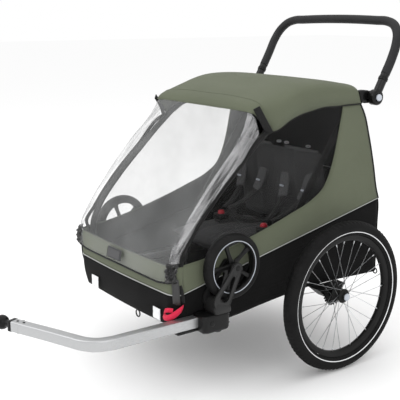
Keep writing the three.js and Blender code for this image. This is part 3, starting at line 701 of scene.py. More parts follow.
# %% Roof sheet
roof_half = skirt_x + 3.5
roof_top = [(-297, 857), (-291, 873), (-246, 899), (-175, 921), (-100, 939), (-20, 941), (50, 932),
            (100, 924), (124, 919), (137, 909), (143, 886), (145, 860)]
roof_side = [(-292, 851), (-264, 826), (-235, 795), (-163, 824), (-101, 842), (-29, 853), (73, 855),
             (110, 856), (128, 857), (138, 857), (143, 857)]


def roof_points(rows=90, columns=96, lift=0.0):
    """Each row runs over the trailer: x is a rounded box and the height goes from the side edge up to the
    top line by the same rule. The box's power grows from 5 at the lip to 10 at the rear, and its half
    width narrows by 30 mm towards the lip: half = roof_half - 30 (1 - t / 0.28)^1.5."""
    top, edge = smooth_line(roof_top, rows), smooth_line(roof_side, rows)
    t = np.linspace(0, 1, rows)[:, None]
    power = 2 / (5.2 + 4.8 * t**1.5)
    angle = np.linspace(-np.pi / 2, np.pi / 2, columns)[None, :]
    angle = angle - 0.18 * np.sin(2 * angle)
    across = np.sign(np.sin(angle)) * np.abs(np.sin(angle)) ** power
    up = np.abs(np.cos(angle)) ** power
    crown = 1 - 0.05 * across**2 * np.sin(np.pi * t)
    y = edge[:, :1] + (top[:, :1] - edge[:, :1]) * up
    z = edge[:, 1:] + (top[:, 1:] - edge[:, 1:]) * up * crown
    ripple = 0.9 * np.sin(y / 31) * np.cos(across * 9) * up + 0.8 * np.sin(y / 17 + 3 * across) * (1 - up)
    half = roof_half - 30 * np.clip(1 - t / 0.28, 0, 1) ** 1.5 + lift
    return np.stack([half * across, y, z + lift + ripple], axis=-1)


roof_grid = roof_points()
roof = finish_piece(sheet_of("roof_cloth", roof_grid, green, 1.6), "cabin_frame", "canopy")
for name, line, radius, colour in (("roof_edge_left", roof_grid[:, -1], 2.4, piping_black),
                                   ("roof_edge_right", roof_grid[:, 0], 2.4, piping_black),
                                   ("roof_edge_rear", roof_grid[-1], 2.4, piping_black),
                                   ("roof_edge_front", roof_grid[0], 1.8, green)):
    across = (0, 0.3, 1) if "left" in name or "right" in name else (0, 1, 0.2)
    finish_piece(swept(name, line, round_section(radius, 8), colour, across), "cabin_frame")
finish_piece(swept("roof_lip_seam", roof_points(lift=1.1)[9, 4:-4], round_section(0.7, 6), green, (0, 1, 0)),
             "cabin_frame")
print("roof", len(roof.data.polygons))

# %% [markdown]
# ## Clear front cover
# A film that rolls over the front. It is flat in the middle, turns round the front tubes at each side
# and is gathered by elastic at its lower corners. The folds are sines that only grow near the edges.

# %% Film and its folded edges
cover_front = [(-613.5, 374), (-613, 405), (-604, 462), (-536, 565), (-468, 655), (-391, 745), (-296, 858)]
cover_side = [(-584, 374), (-580, 436), (-549, 497), (-463, 606), (-372, 697), (-276, 787), (-284, 850)]


def cover_points(first, last, rows=150, columns=60):
    """Each row crosses from angle `first` to `last`: x is a rounded box of power 5 and the depth goes
    from the side line to the front line by the same rule. Waves: sin along the row line, near edges."""
    front, back = smooth_line(cover_front, rows), smooth_line(cover_side, rows)
    angle = np.linspace(first, last, columns)
    power = 2 / 5
    across = (np.sign(np.sin(angle)) * np.abs(np.sin(angle)) ** power)[None, :]
    depth = (np.abs(np.cos(angle)) ** power)[None, :]
    yz = back[:, None] + (front - back)[:, None] * depth[..., None]
    out = front - back
    out = (out / np.linalg.norm(out, axis=1)[:, None])[:, None]
    t = np.linspace(0, 1, rows)[:, None]
    swell = 7 * (1 - across**2) * np.sin(np.pi * t)
    near = np.clip((np.abs(across) - 0.9) / 0.1, 0, 1)
    folds = near * (1.0 * np.sin(t * 31 + 9 * across) + 0.7 * np.sin(t * 17 + 1.3)
                    + 1.3 * np.sin(depth * 21 + t * 9))
    gather = np.exp(-((t - 0.03) / 0.07) ** 2) * np.clip((np.abs(across) - 0.78) / 0.2, 0, 1)
    pleats = gather * (5.5 * np.sin(across * 95 + t * 30) + 3 * np.sin(t * 210))
    long_wave = 1.2 * np.sin(across * 7 + t * 5) * np.sin(np.pi * t)
    yz = yz + out * (swell + folds + pleats + long_wave)[..., None]
    pull = gather * 12
    half = skirt_x - 0.5 - 27 * np.clip((t - 0.72) / 0.28, 0, 1) ** 1.5
    return np.concatenate([(half * across)[..., None], yz + np.stack([np.zeros_like(pull), pull], axis=-1)],
                          axis=-1)


turn_start = 1.02
film = finish_piece(sheet_of("cover_film", cover_points(-turn_start, turn_start, 150, 80), vinyl, 0.5),
                    "cabin_frame", "front_cover")
wraps = []
for name, first, last in (("left", turn_start, np.pi / 2), ("right", -np.pi / 2, -turn_start)):
    wraps.append(finish_piece(sheet_of(f"cover_wrap_{name}", cover_points(first, last, 220, 40), vinyl_edge,
                                       0.7), "cabin_frame"))
hem_line = cover_points(-np.pi / 2, np.pi / 2)[0]
hem = finish_piece(swept("cover_hem", hem_line, round_section(3, 8), piping_black, (0, 0, 1)), "cabin_frame")


def corner_gather(side, name, start, end, height):
    """Elastic gathered into small pleats at a corner of the cover: the film's surface between two row
    lines, lifted by products of sines that reach about 5 mm."""
    rows = cover_points(side * 0.92, side * np.pi / 2, 150, 60)[start:end]
    t = np.linspace(0, 1, 60)
    patch = np.stack([np.stack([np.interp(t, np.linspace(0, 1, len(rows)), rows[:, c, k]) for c in range(60)],
                               1) for k in range(3)], axis=-1)
    u, v = np.meshgrid(t, t, indexing="ij")
    bulge = 4 + height * (np.sin(u * 23 + 3 * np.sin(v * 9)) * np.sin(v * 27 + 2 * np.sin(u * 11))
                          + 0.5 * np.sin(v * 57 + u * 19))
    rim = np.sin(np.pi * u) ** 0.3 * np.sin(np.pi * v) ** 0.3
    patch[..., 0] += side * bulge * rim * v
    patch[..., 1] -= bulge * rim * (1 - v * 0.6)
    return finish_piece(sheet_of(name, patch, ruffle, 0.8), "cabin_frame")


for side, word in ((1, "left"), (-1, "right")):
    corner_gather(side, f"lower_gather_{word}", 0, 17, 5.5)
for number, edge in enumerate((-turn_start, turn_start)):
    line = cover_points(edge, edge, columns=1)[:, 0]
    finish_piece(swept(f"cover_weld_{number}", line, round_section(1.2, 6), vinyl_edge), "cabin_frame")
print("cover", len(film.data.polygons), "wrap", len(wraps[0].data.polygons))


# %% [markdown]
# ## Straps, loops and lights at the front
# Webbing is a flat section swept along its route; it is drawn directly, as a remesh would erase it.

# %% Webbing and small fittings
def strap(name, path, width, material, across=(1, 0, 0), thickness=1.6, body="chassis", count=40):
    """A flat webbing section, 30 percent thicker in the middle, carried along a smooth line."""
    half, side = thickness / 2, width / 2
    section = np.array([[-half, -side], [half, -side], [half * 1.3, 0], [half, side], [-half, side],
                        [-half * 1.3, 0]])
    return finish_piece(swept(name, smooth_line(path, count), section, material, across), body)


for side, name, inset in ((1, "left", 0), (-1, "right", 24)):
    top = (side * (287 - inset), -299, 862 if inset else 872)
    strap(f"canopy_strap_{name}", [top, (side * (292 - inset), -276, 832), (side * 290, -246, 790)], 22, web,
          (side * 0.55, 0.8, 0.1), 2.4, "cabin_frame")
    strap(f"corner_elastic_{name}", [(side * 281, -592, 392), (side * 284, -590, 364),
                                     (side * 283, -588, 336), (side * 279, -584, 314)], 22, ruffle,
                                     (side * 0.7, 0.7, 0), 3.4)
    strap(f"corner_tab_{name}", [(side * 285, -577, 372), (side * 288, -572, 350), (side * 288, -568, 330),
                                 (side * 286, -566, 318)], 12, web, (side * 0.5, 0.85, 0), 3)
strap("release_strap", [(250, -609, 281), (262, -614, 277), (276, -613, 279), (287, -603, 286),
                        (293, -590, 296), (293, -577, 303), (288, -568, 306)], 17, pink_web, (0.1, 0.3, 1), 3)
strap("release_strap_tail", [(252, -609, 291), (262, -613, 297), (273, -610, 301), (283, -600, 300)], 13,
      pink_web, (0.1, 0.3, 1), 2.4)
for x, z, width, height, node in ((209, 272, 38, 36, "front_reflector_left"),
                                  (-167, 272, 42, 38, "front_reflector_right")):
    u, v = np.meshgrid(np.linspace(-1, 1, 15), np.linspace(-1, 1, 13), indexing="ij")
    dome = 7.5 + 2.2 * (1 - u**4) * (1 - v**4) + 0.5 * np.abs(np.sin(u * 20)) * np.abs(np.sin(v * 16))
    finish_piece(sheet_of(f"{node}_lens", np.stack([x + u * width / 2, -601 - dome, z + v * height / 2],
                                                   axis=-1), lens, 2.0), "chassis", node)
for name, centre, radius in (("tow_loop_front", (108, -612, 243), 11), ("tie_loop_rear", (282, 258, 262), 9)):
    ring = np.linspace(0, 2 * np.pi, 40)
    path = np.stack([centre[0] + radius * np.cos(ring), np.full(40, centre[1]), centre[2]
                     + radius * np.sin(ring)], axis=1)
    finish_piece(swept(name, path, round_section(2.2, 10), plastic_black, (0, 1, 0)), "chassis")

# %% [markdown]
# ## Wheels
# Tyre, rim and hub are turned profiles. The tread is a ripple on the tyre's outer rings only, so it
# costs no extra vertices. Spokes leave the hub in crossed pairs: each one is turned from its hub hole
# by a fixed angle, alternately forwards and backwards.

# %% Tyre with its tread and reflective stripe
tyre_radius = 23.5
tyre_middle = wheel_radius - tyre_radius


def tyre_profile(x_plane, radius, middle, steps=28, gap_angle=0.62):
    """(radius, x) points round the tyre's section, open towards the rim: middle - r cos(a), x + r sin(a)."""
    a = np.linspace(gap_angle, 2 * np.pi - gap_angle, steps)
    return np.stack([middle - radius * np.cos(a), x_plane + radius * np.sin(a)], axis=1)


def tread(x_plane, radius, middle, blocks, depth):
    """Blocks on the outer third of the section: depth * w(x) * square-like wave along the tyre. The wave
    is tanh(4 sin(n a + skew * side)), so the grooves slant outwards on both sides."""
    def cut(x, angle):
        """How far the surface moves out at a place on the tyre; negative in a groove."""
        side = (x - x_plane) / radius
        where = np.clip((0.72 - np.abs(side)) / 0.1, 0, 1)
        wave = np.tanh(4 * np.sin(blocks * angle + 2.4 * np.abs(side)))
        groove = np.exp(-((np.abs(side) - 0.3) / 0.07) ** 2)
        return -depth * where * (0.5 - 0.5 * wave * np.clip(np.abs(side) * 4 - 0.6, 0, 1) + 0.9 * groove)
    return cut


def closed(profile, inner):
    """A profile closed on the inside by points at radius `inner`, back to its first point."""
    return np.array([*profile, (inner, profile[-1, 1]), (inner, profile[0, 1]), profile[0]])


print("tyre functions ready")

# %% [markdown]
# The wheel has a thin-walled rim, a hub that widens at both flanges and a toothed ring that the brake
# pin enters. They turn as one, so they become one object, and the spokes are another.

# %% Wheel, hub and spokes
def wheel(side):
    """One large wheel: tyre, two stripes, rim, hub with brake ring, spokes and button."""
    name = "left" if side > 0 else "right"
    plane = side * half_track
    hub_centre = (0, wheel_radius)
    profile = closed(tyre_profile(plane, tyre_radius, tyre_middle), tyre_middle - tyre_radius + 3)
    tyre = turned(f"tyre_{name}_visual", profile, hub_centre, rubber, 720,
                  tread(plane, tyre_radius, tyre_middle, 90, 1.6))
    finish_piece(tyre, f"wheel_{name}", f"tyre_{name}")
    for face in (1, -1):
        band = [(tyre_middle - tyre_radius * math.cos(a) * 1.012, plane + face * tyre_radius * math.sin(a)
                 * 1.012) for a in np.linspace(1.03, 1.15, 5)]
        back = [(tyre_middle - tyre_radius * math.cos(a) * 0.985, plane + face * tyre_radius * math.sin(a)
                 * 0.985) for a in (1.15, 1.03)]
        ring = turned(f"stripe_{name}_{'out' if face > 0 else 'in'}", [*band, *back, band[0]], hub_centre,
                      stripe, 96)
        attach(ring, f"wheel_{name}")
    flange = 202
    rim = [(flange, -11.5), (flange + 1.5, -12.5), (flange + 1.5, -10), (196, -9.5), (191, -6.5), (188, -2.5),
           (188, 2.5), (191, 6.5), (196, 9.5), (flange + 1.5, 10), (flange + 1.5, 12.5), (flange, 11.5),
           (197, 12), (190, 11), (185.5, 6), (184.5, 0), (185.5, -6), (190, -11), (197, -12), (flange, -11.5)]
    hoop = turned(f"rim_{name}", [(r, plane + x) for r, x in rim], hub_centre, rim_black, 160)
    hub_x = [(0, -46), (9, -46), (12, -44), (12, -31), (24, -30), (25, -28), (24, -26), (15, -24), (13, -12),
             (13, -2), (15, 0), (23, 1), (24, 3), (23, 5), (15, 7), (13.5, 10), (13.5, 15), (11, 16), (0, 16)]
    hub = turned(f"hub_{name}", [(r, plane + side * x) for r, x in hub_x], hub_centre, plastic_black, 48)
    ring_x = [(31, -45.5), (40, -45.5), (41, -44), (41, -43), (40, -41.5), (31, -41.5), (30, -43.5),
              (31, -45.5)]
    teeth = turned(f"brake_ring_{name}", [(r, plane + side * x) for r, x in ring_x], hub_centre,
                   plastic_black, 240, lambda x, a: 3.2 * np.tanh(3 * np.sin(24 * a)))
    arms = turned(f"ring_web_{name}", [(r, plane + side * x) for r, x in
                                       [(11, -44.6), (32, -44.2), (32, -42.4), (11, -42.4), (11, -44.6)]],
                  hub_centre, plastic_black, 72)
    finish_piece(joined(f"wheel_{name}_visual", [hoop, hub, teeth, arms]), f"wheel_{name}")
    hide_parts(f"wheel_{name}")
    wheel_spokes(name, side, plane)
    cap_x = [(0, 22), (8.5, 22), (11, 21.2), (12, 19.5), (12, 16.8), (6, 16.6), (0, 16.6)]
    cap = turned(f"cap_{name}", [(r, plane + side * x) for r, x in cap_x], hub_centre, plastic_grey, 40)
    finish_piece(cap, f"wheel_button_{name}", f"wheel_release_button_{name}")


def wheel_spokes(name, side, plane, count=28):
    """One object for all spokes: straight thin tubes from hub to rim, about twice as thick at the nipple."""
    parts = []
    for k in range(count):
        at_rim = 2 * math.pi * k / count
        outer = k % 2 == 0
        at_hub = at_rim + (0.78 if (k // 2) % 2 else -0.78)
        hub_x = plane + side * (3 if outer else -28)
        start = np.array([hub_x, 22 * math.cos(at_hub), wheel_radius + 22 * math.sin(at_hub)])
        end = np.array([plane + side * (2 if outer else -2), 186 * math.cos(at_rim), wheel_radius
                        + 186 * math.sin(at_rim)])
        near = end + (start - end) / np.linalg.norm(start - end) * 13
        path = np.array([start, near, near, end])
        path[2] += (end - near) * 0.01
        parts.append(swept(f"spoke_{name}_{k}", path, round_section(1.0, 6), steel, (0.98, 0.15, 0.05),
                           (1, 1, 2.1, 2.1)))
    finish_piece(joined(f"spokes_{name}", parts), f"wheel_{name}")


wheel(1)
wheel(-1)

# %% [markdown]
# ## Stowed stroller wheels
# Each one hangs in a plug-in fork at the front corner, above the tow arm's receiver.

# %% Stroller wheel, fork and receiver
caster_x, caster_centre = 320, (-412, 411)
caster_tyre_radius = 102


def caster(side):
    """One stowed stroller wheel with its tyre, felly, nave and five spokes, and then its fork."""
    name = "left" if side > 0 else "right"
    plane = side * caster_x
    profile = closed(tyre_profile(plane, 14, caster_tyre_radius - 14, 22, 0.9), 78)
    wide = profile.copy()
    wide[:, 1] = plane + (wide[:, 1] - plane) * 18 / 14
    tyre = turned(f"caster_tyre_{name}_visual", wide, caster_centre, caster_rubber, 288,
                  tread(plane, 18, 87, 48, 1.1))
    finish_piece(tyre, f"caster_wheel_{name}", f"caster_tyre_{name}")
    felly = [(75, -13), (77.5, -14), (83, -14), (84, -12), (80.5, -9), (79.5, 0), (80.5, 9), (84, 12),
             (83, 14), (77.5, 14), (75, 13), (74, 0), (75, -13)]
    # a light grey ring on the felly, painted as the reflection line along the tyre's inner edge
    glint = turned(f"caster_painted_glint_{name}", [(79.5 + 1.3 * math.cos(a), plane + side * 15.4
                                            + 1.3 * math.sin(a)) for a in np.linspace(0, 2 * np.pi, 9)],
                                            caster_centre, plastic_grey, 120)
    finish_piece(glint, f"caster_wheel_{name}")
    hoop = turned(f"caster_felly_{name}", [(r, plane + x) for r, x in felly], caster_centre, plastic_black,
                  120)
    nave_x = [(0, -18), (9, -18), (13, -16), (14, -10), (15, 0), (14, 10), (13, 16), (9, 18), (0, 18)]
    nave = turned(f"caster_nave_{name}", [(r, plane + x) for r, x in nave_x], caster_centre, plastic_black,
                  40)
    spokes = []
    for k in range(5):
        a = 2 * math.pi * k / 5 + 0.35
        reach = np.linspace(10, 77, 12)
        path = np.stack([np.full(12, plane), caster_centre[0] - reach * math.sin(a), caster_centre[1]
                         + reach * math.cos(a)], axis=1)
        taper = 1.25 - 0.45 * np.sin(np.linspace(0, np.pi, 12))
        section = rounded_square(1, 0.5) * [7.2, 6.2]
        spokes.append(swept(f"caster_spoke_{name}_{k}", path, section, plastic_black, (1, 0, 0), taper))
    core = joined(f"caster_wheel_{name}_visual", [hoop, nave, *spokes])
    finish_piece(core, f"caster_wheel_{name}", f"caster_wheel_{name}")
    fork_plates(name, side)


print("stroller wheel function ready")

# %% [markdown]
# The fork's blades are flat outlines with holes that get a thickness and rounded edges. The same
# function makes the brackets and the stays.

# %% Plates and the fork
def plate_with_slot(name, outline, holes, x_range, material, bevel=1.6):
    """A flat plate from a filled outline with holes, given its thickness and rounded edges."""
    work = bmesh.new()
    loops = []
    for loop in (outline, *holes):
        verts = [work.verts.new(p) for p in place([(x_range[0], y, z) for y, z in loop])]
        loops += [work.edges.new((verts[i], verts[(i + 1) % len(verts)])) for i in range(len(verts))]
    bmesh.ops.triangle_fill(work, edges=loops, use_beauty=True)
    thickness = Vector(((x_range[1] - x_range[0]) / 1000, 0, 0))
    grown = bmesh.ops.extrude_face_region(work, geom=list(work.faces))["geom"]
    bmesh.ops.translate(work, vec=thickness, verts=[v for v in grown if isinstance(v, bmesh.types.BMVert)])
    bmesh.ops.recalc_face_normals(work, faces=work.faces)
    mesh = bpy.data.meshes.new(name)
    work.to_mesh(mesh)
    work.free()
    piece = bpy.data.objects.new(name, mesh)
    scene.collection.objects.link(piece)
    mesh.materials.append(material)
    edge = piece.modifiers.new("edge", "BEVEL")
    edge.width, edge.segments, edge.limit_method, edge.angle_limit = bevel / 1000, 3, "ANGLE", 0.7
    return piece


def ring_of(centre, radius, start=0.0, end=2 * math.pi, count=32, closed_ring=True):
    """(y, z) points on an arc: centre + radius (cos a, sin a)."""
    angle = np.linspace(start, end, count, endpoint=not closed_ring)
    return [(centre[0] + radius * math.cos(a), centre[1] + radius * math.sin(a)) for a in angle]


def capsule(first, last, radius_first, radius_last, count=14):
    """The outline of two discs and the bar between them, as (y, z) points."""
    a = math.atan2(last[1] - first[1], last[0] - first[0])
    return (ring_of(first, radius_first, a + math.pi / 2, a + 3 * math.pi / 2, count, False)
            + ring_of(last, radius_last, a - math.pi / 2, a + math.pi / 2, count, False))


def fork_plates(name, side):
    """Two blades widen from the nave to a moulded boot that plugs into the receiver; both have a long slot,
    and the outer one has a raised lip round its slot and its edge. The boot is a stack of rounded rectangles,
    wide at the foot."""
    foot = (-468, 318)
    outline = capsule(caster_centre, foot, 17, 31, 20)
    along = np.array(foot) - caster_centre
    slot = capsule(tuple(caster_centre + along * 0.30), tuple(caster_centre + along * 0.86), 7, 17)
    eye_hole = ring_of(caster_centre, 5.5)
    outer = plate_with_slot(f"fork_outer_{name}", outline, [slot, eye_hole], (side * 342, side * 350),
                            plastic_dark, 2.2)
    inner = plate_with_slot(f"fork_inner_{name}", outline, [slot], (side * 290, side * 298), plastic_dark,
                            2.2)
    pieces = [outer, inner]
    for word, line in (("slot", slot), ("edge", outline)):
        ring = np.array([(side * 350, y, z) for y, z in line + line[:2]])
        inset = ring if word == "slot" else ring + (np.array([0, *foot]) * [0, 1, 1] - ring
                                                    * [0, 1, 1]) * 0.025
        pieces.append(swept(f"fork_{word}_lip_{name}", inset, round_section(1.3, 6), plastic_dark, (1, 0, 0)))
    boot = np.array([(side * 320, -466, 283), (side * 320, -466, 284.5), (side * 320, -466, 296),
                     (side * 320, -466, 306), (side * 320, -464, 313), (side * 320, -462, 315)], float)
    section = rounded_square(1, 0.34, 5) * [31, 32.5]
    pieces.append(swept(f"fork_boot_{name}", boot, section, plastic_dark, (1, 0, 0),
                        (0.96, 1, 1, 0.97, 0.9, 0.78)))
    pieces.append(turned(f"fork_axle_{name}", [(0, side * 351.6), (7.5, side * 351.4), (9, side * 350),
                                               (9, side * 342), (4.5, side * 341), (4.5, side * 298),
                                               (8, side * 297), (8, side * 289), (0, side * 288.6)],
                                               caster_centre, plastic_black, 32))
    for piece in pieces:
        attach(piece, f"caster_fork_{name}")
    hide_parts(f"caster_fork_{name}")


caster(1)
caster(-1)
print("caster axle height mm", caster_centre[1])

# %% [markdown]
# ## Tow arm, push bar and tubes
# Tubes are sections swept on smooth lines; the tow arm is a square tube with round corners.

# %% Tow arm and hitch
arm_z = 259
heading = np.array([-0.9259, -0.3773])
arm_line = [(303, -486), (303, -640), (303, -760), (301, -822), (290, -855), (264, -880), (223, -897.5)]
arm_tip = np.array([14.0, -981.0])
arm_points = np.array([*arm_line, *[arm_tip - heading * d for d in (150, 80, 0)]])
arm_path = smooth_line(np.column_stack([arm_points, np.full(len(arm_points), arm_z)]), 120)
arm = finish_piece(swept("tow_arm_tube", arm_path, rounded_square(16, 4.5, 5), aluminium, (0, 0, 1)),
                   "tow_arm", "tow_arm")


def along_arm(distance):
    """A point on the arm's line, measured back from its tip."""
    return np.array([*(arm_tip - heading * distance), arm_z])


def arm_sleeve(name, start, end, half, corner, material):
    """A square sleeve round the arm between two distances from its tip, with drawn-in ends."""
    path = np.array([along_arm(start), along_arm(start - 1), along_arm(end + 1), along_arm(end)])
    return finish_piece(swept(name, path, rounded_square(half, corner, 5), material, (0, 0, 1),
                              (0.94, 1, 1, 0.94)), "tow_arm")


arm_sleeve("tip_plug", 6, -7, 16.8, 5, plastic_black)
arm_sleeve("tip_collar", 34, 27, 16.9, 5, aluminium)
for number, distance in enumerate((20, 44)):
    head = along_arm(distance) + [0, 0, 15.6]
    bolt = swept(f"tip_bolt_{number}", np.array([head, head + [0, 0, 1.2], head + [0, 0, 1.8]]),
                 round_section(4.2, 14), plastic_black, (1, 0, 0), (1, 1, 0.7))
    finish_piece(bolt, "tow_arm")
turn_line = np.array([*(-heading), 0.0])
neck = [(-8, 15), (-7, 15.5), (-2, 15.5), (0, 14), (2, 11), (10, 10), (20, 10.5)]
ball = [(43.9 - 21.8 * math.cos(a), 21.8 * math.sin(a)) for a in np.linspace(0.48, np.pi, 20)]
line = np.array([np.array([*arm_tip, arm_z]) - turn_line * d for d, _ in neck + ball])
finish_piece(swept("hitch_ball_visual", line, round_section(1, 36), plastic_black, (0, 0, 1),
                   [max(r, 0.05) for _, r in neck + ball]), "tow_arm", "hitch_ball")
print("arm", len(arm.data.polygons))


# %% [markdown]
# The push bar is one bent tube with a foam grip over its top. Its legs end in two joint discs, and each
# disc has a button at its centre. The teeth that would hold the bar's angle are inside and not drawn.

# %% Push bar
bar_pivot, bar_half, bar_reach, bar_top = (189, 876), 308, 117, 1121


def push_bar_path():
    """Legs rise and lean back, then turn into the top bar; the same line both ways round."""
    side = [(0, 0), (0, 30), (0, 60), (0, 125), (-3, 168), (-16, 205), (-42, 231), (-80, 243), (-125, 245)]
    lean = bar_reach / (bar_top - bar_pivot[1])
    leg = [(bar_half + dx, bar_pivot[0] + min(dz * 0.58, dz * lean + 12), bar_pivot[1] + dz) for dx,
           dz in side]
    return np.array(leg + [(-x, y, z) for x, y, z in leg[::-1]])


bar_path = smooth_line(push_bar_path(), 220)
bar = swept("push_bar_tube", bar_path, round_section(14.5, 24), tube_black, (0, 1, 0.2))
finish_piece(bar, "push_bar", "push_bar")
upper = np.flatnonzero(bar_path[:, 2] > 946)
grip = swept("push_bar_grip", bar_path[upper[0]:upper[-1] + 1], round_section(15.3, 24),
             moulded("foam grip", (0.008, 0.008, 0.009), (0.014, 0.014, 0.015), 0.6, 260, 0.4), (0, 1, 0.2))
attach(grip, "push_bar")
for side, name in ((1, "left"), (-1, "right")):
    disc = [(0, -15), (20, -15), (24, -13), (25.5, -10), (25.5, 9), (24.5, 12.5), (21, 14.6), (13.5, 15.2),
            (12.5, 11), (0, 11)]
    joint_disc = turned(f"push_bar_joint_{name}", [(r, side * (bar_half + x)) for r, x in disc], bar_pivot,
                        plastic_black, 56)
    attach(joint_disc, "push_bar")
    knob = [(0, 21.4), (8, 21.4), (10.4, 20.4), (11.2, 18.5), (11.2, 12.5), (0, 12.5)]
    button = turned(f"push_bar_button_{name}_visual", [(r, side * (bar_half + x)) for r, x in knob],
                    bar_pivot, plastic_grey, 40)
    finish_piece(button, f"push_bar_button_{name}", f"push_bar_button_{name}")
    leg = bar_path[:60] if side > 0 else bar_path[-60:]
    near = leg[np.argsort(np.abs(leg[:, 2] - 940))[:2]]
    collar = np.linspace(near[0], near[0] + (near[1] - near[0]) / np.linalg.norm(near[1] - near[0]) * 14, 6)
    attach(swept(f"leg_collar_{name}", collar, round_section(16.3, 24), plastic_black, (0, 1, 0.2),
                  (0.9, 1, 1, 1, 1, 0.9)), "push_bar")
    bracket = plate_with_slot(f"push_bar_bracket_{name}_visual", capsule((158, 869), bar_pivot, 12, 20), [],
                              (side * 280.5, side * 293), plastic_black, 2.4)
    finish_piece(bracket, "cabin_frame", f"push_bar_bracket_{name}")
    mount = np.array([(side * 284, y, z) for y, z in ((136, 880), (138, 880.5), (150, 881), (168, 880),
                                                      (184, 878), (186, 877.5))], float)
    cover = swept(f"bar_mount_{name}", mount, rounded_square(1, 0.45, 5) * [19, 11], plastic_black, (1, 0, 0),
                  (0.86, 1, 1.05, 1, 0.9, 0.7))
    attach(cover, "cabin_frame")
print("bar", len(bar.data.polygons))


# %% [markdown]
# Parts of the frame show through the cover and the dark windows. Arches, bows and cross tubes are round
# sections carried along a line, the rails are square ones, and the stays are flat bars with round ends.

# %% Frame tubes
def mirrored_tube(name, path, radius, body, nodes, section=None, material=None, count=60):
    """The same tube on the left and the right; `section` replaces the round one."""
    line = smooth_line(path, count)
    for side, word in ((1, "left"), (-1, "right")):
        tube = swept(f"{name}_{word}_visual", line * [side, 1, 1],
                     round_section(radius, 16) if section is None else section, material or tube_black)
        finish_piece(tube, body, *[f"{node}_{word}" for node in nodes])


arch_points = [(-548, 337), (-556, 400), (-553, 450), (-530, 500), (-450, 600), (-358, 690), (-262, 778),
               (-190, 832), (-100, 858), (0, 868), (150, 865)]
mirrored_tube("arch", [(270, y, z) for y, z in arch_points], 10, "cabin_frame", ["arch"], count=90)
mirrored_tube("rail", [(270, -562, 287), (270, -150, 287), (270, 247, 287)], 12, "chassis", ["rail"],
              rounded_square(12.5, 4), aluminium, count=12)
for name, path, radius, body, node in (("rear_bow", [(-237, 60, 893), (0, 60, 895), (237, 60, 893)], 8,
                                        "cabin_frame", "rear_bow"),
                                        ("visor_bow", [(-252, -283, 861), (0, -284, 865), (252, -283, 861)],
                                         4.5, "cabin_frame", "visor_bow"),
                                         ("front_tube", [(-257, -500, 287), (0, -500, 287), (257, -500, 287)],
                                          9, "chassis", "front_cross_tube"),
                                          ("rear_tube", [(-257, 241, 287), (0, 241, 287), (257, 241, 287)], 9,
                                           "chassis", "rear_cross_tube")):
    finish_piece(swept(f"{name}_visual", smooth_line(path, 24), round_section(radius, 16), tube_black,
                       (0, 1, 0)), body, node)
knee = (-121.7, 463.2)
for side, word in ((1, "left"), (-1, "right")):
    lower = plate_with_slot(f"lower_stay_{word}_visual", capsule((215, 287), knee, 12, 12), [],
                            (side * 247.8, side * 253.8), tube_black, 1.2)
    finish_piece(lower, "lower_stays", f"lower_stay_{word}")
    upper = plate_with_slot(f"upper_stay_{word}_visual", capsule(knee, (150, 865), 12, 12), [],
                            (side * 241.1, side * 247.1), tube_black, 1.2)
    finish_piece(upper, "upper_stays", f"upper_stay_{word}")
print("stay knee at", knee)

# %% [markdown]
# ## Seat
# Cushions are rounded boxes whose faces crown and dip at their seams. The seat and the seat back are then
# puffed by cloth simulation: the shell is stretched by a small inside pressure, with its low edge held.

# %% Cushions
def cushion(name, size, crown, seams, material, where, tilt, exponent=6, rows=44, columns=56):
    """A closed pillow: a superellipsoid of power `exponent` in plan, thick as crown * (1 - |u|^4)(1 - |v|^4)
    on each face, with a groove exp(-(distance / 9 mm)^2) along each seam line at u = constant."""
    width, length, depth = size
    u, v = np.meshgrid(np.linspace(-1, 1, columns), np.linspace(-1, 1, rows), indexing="ij")
    edge = (1 - np.abs(u) ** exponent) ** 0.5 * (1 - np.abs(v) ** exponent) ** 0.5
    groove = sum((np.exp(-((u - s) * width / 2 / 7) ** 2) for s in seams), np.zeros_like(u))
    faces = []
    for face in (1, -1):
        height = face * edge * (depth / 2 + crown * (1 - u**4) * (1 - v**4) - 5.5 * groove)
        faces.append(np.stack([u * width / 2, v * length / 2, height], axis=-1))
    a, b = math.cos(math.radians(tilt)), math.sin(math.radians(tilt))
    turn = np.array([[1, 0, 0], [0, a, b], [0, -b, a]])
    points = np.concatenate([face.reshape(-1, 3) for face in faces]) @ turn + np.array(where)
    quads = np.array(grid_faces(columns, rows))
    return weld(make(name, place(points), np.concatenate([quads, quads[:, ::-1] + columns * rows]).tolist(),
                     material))


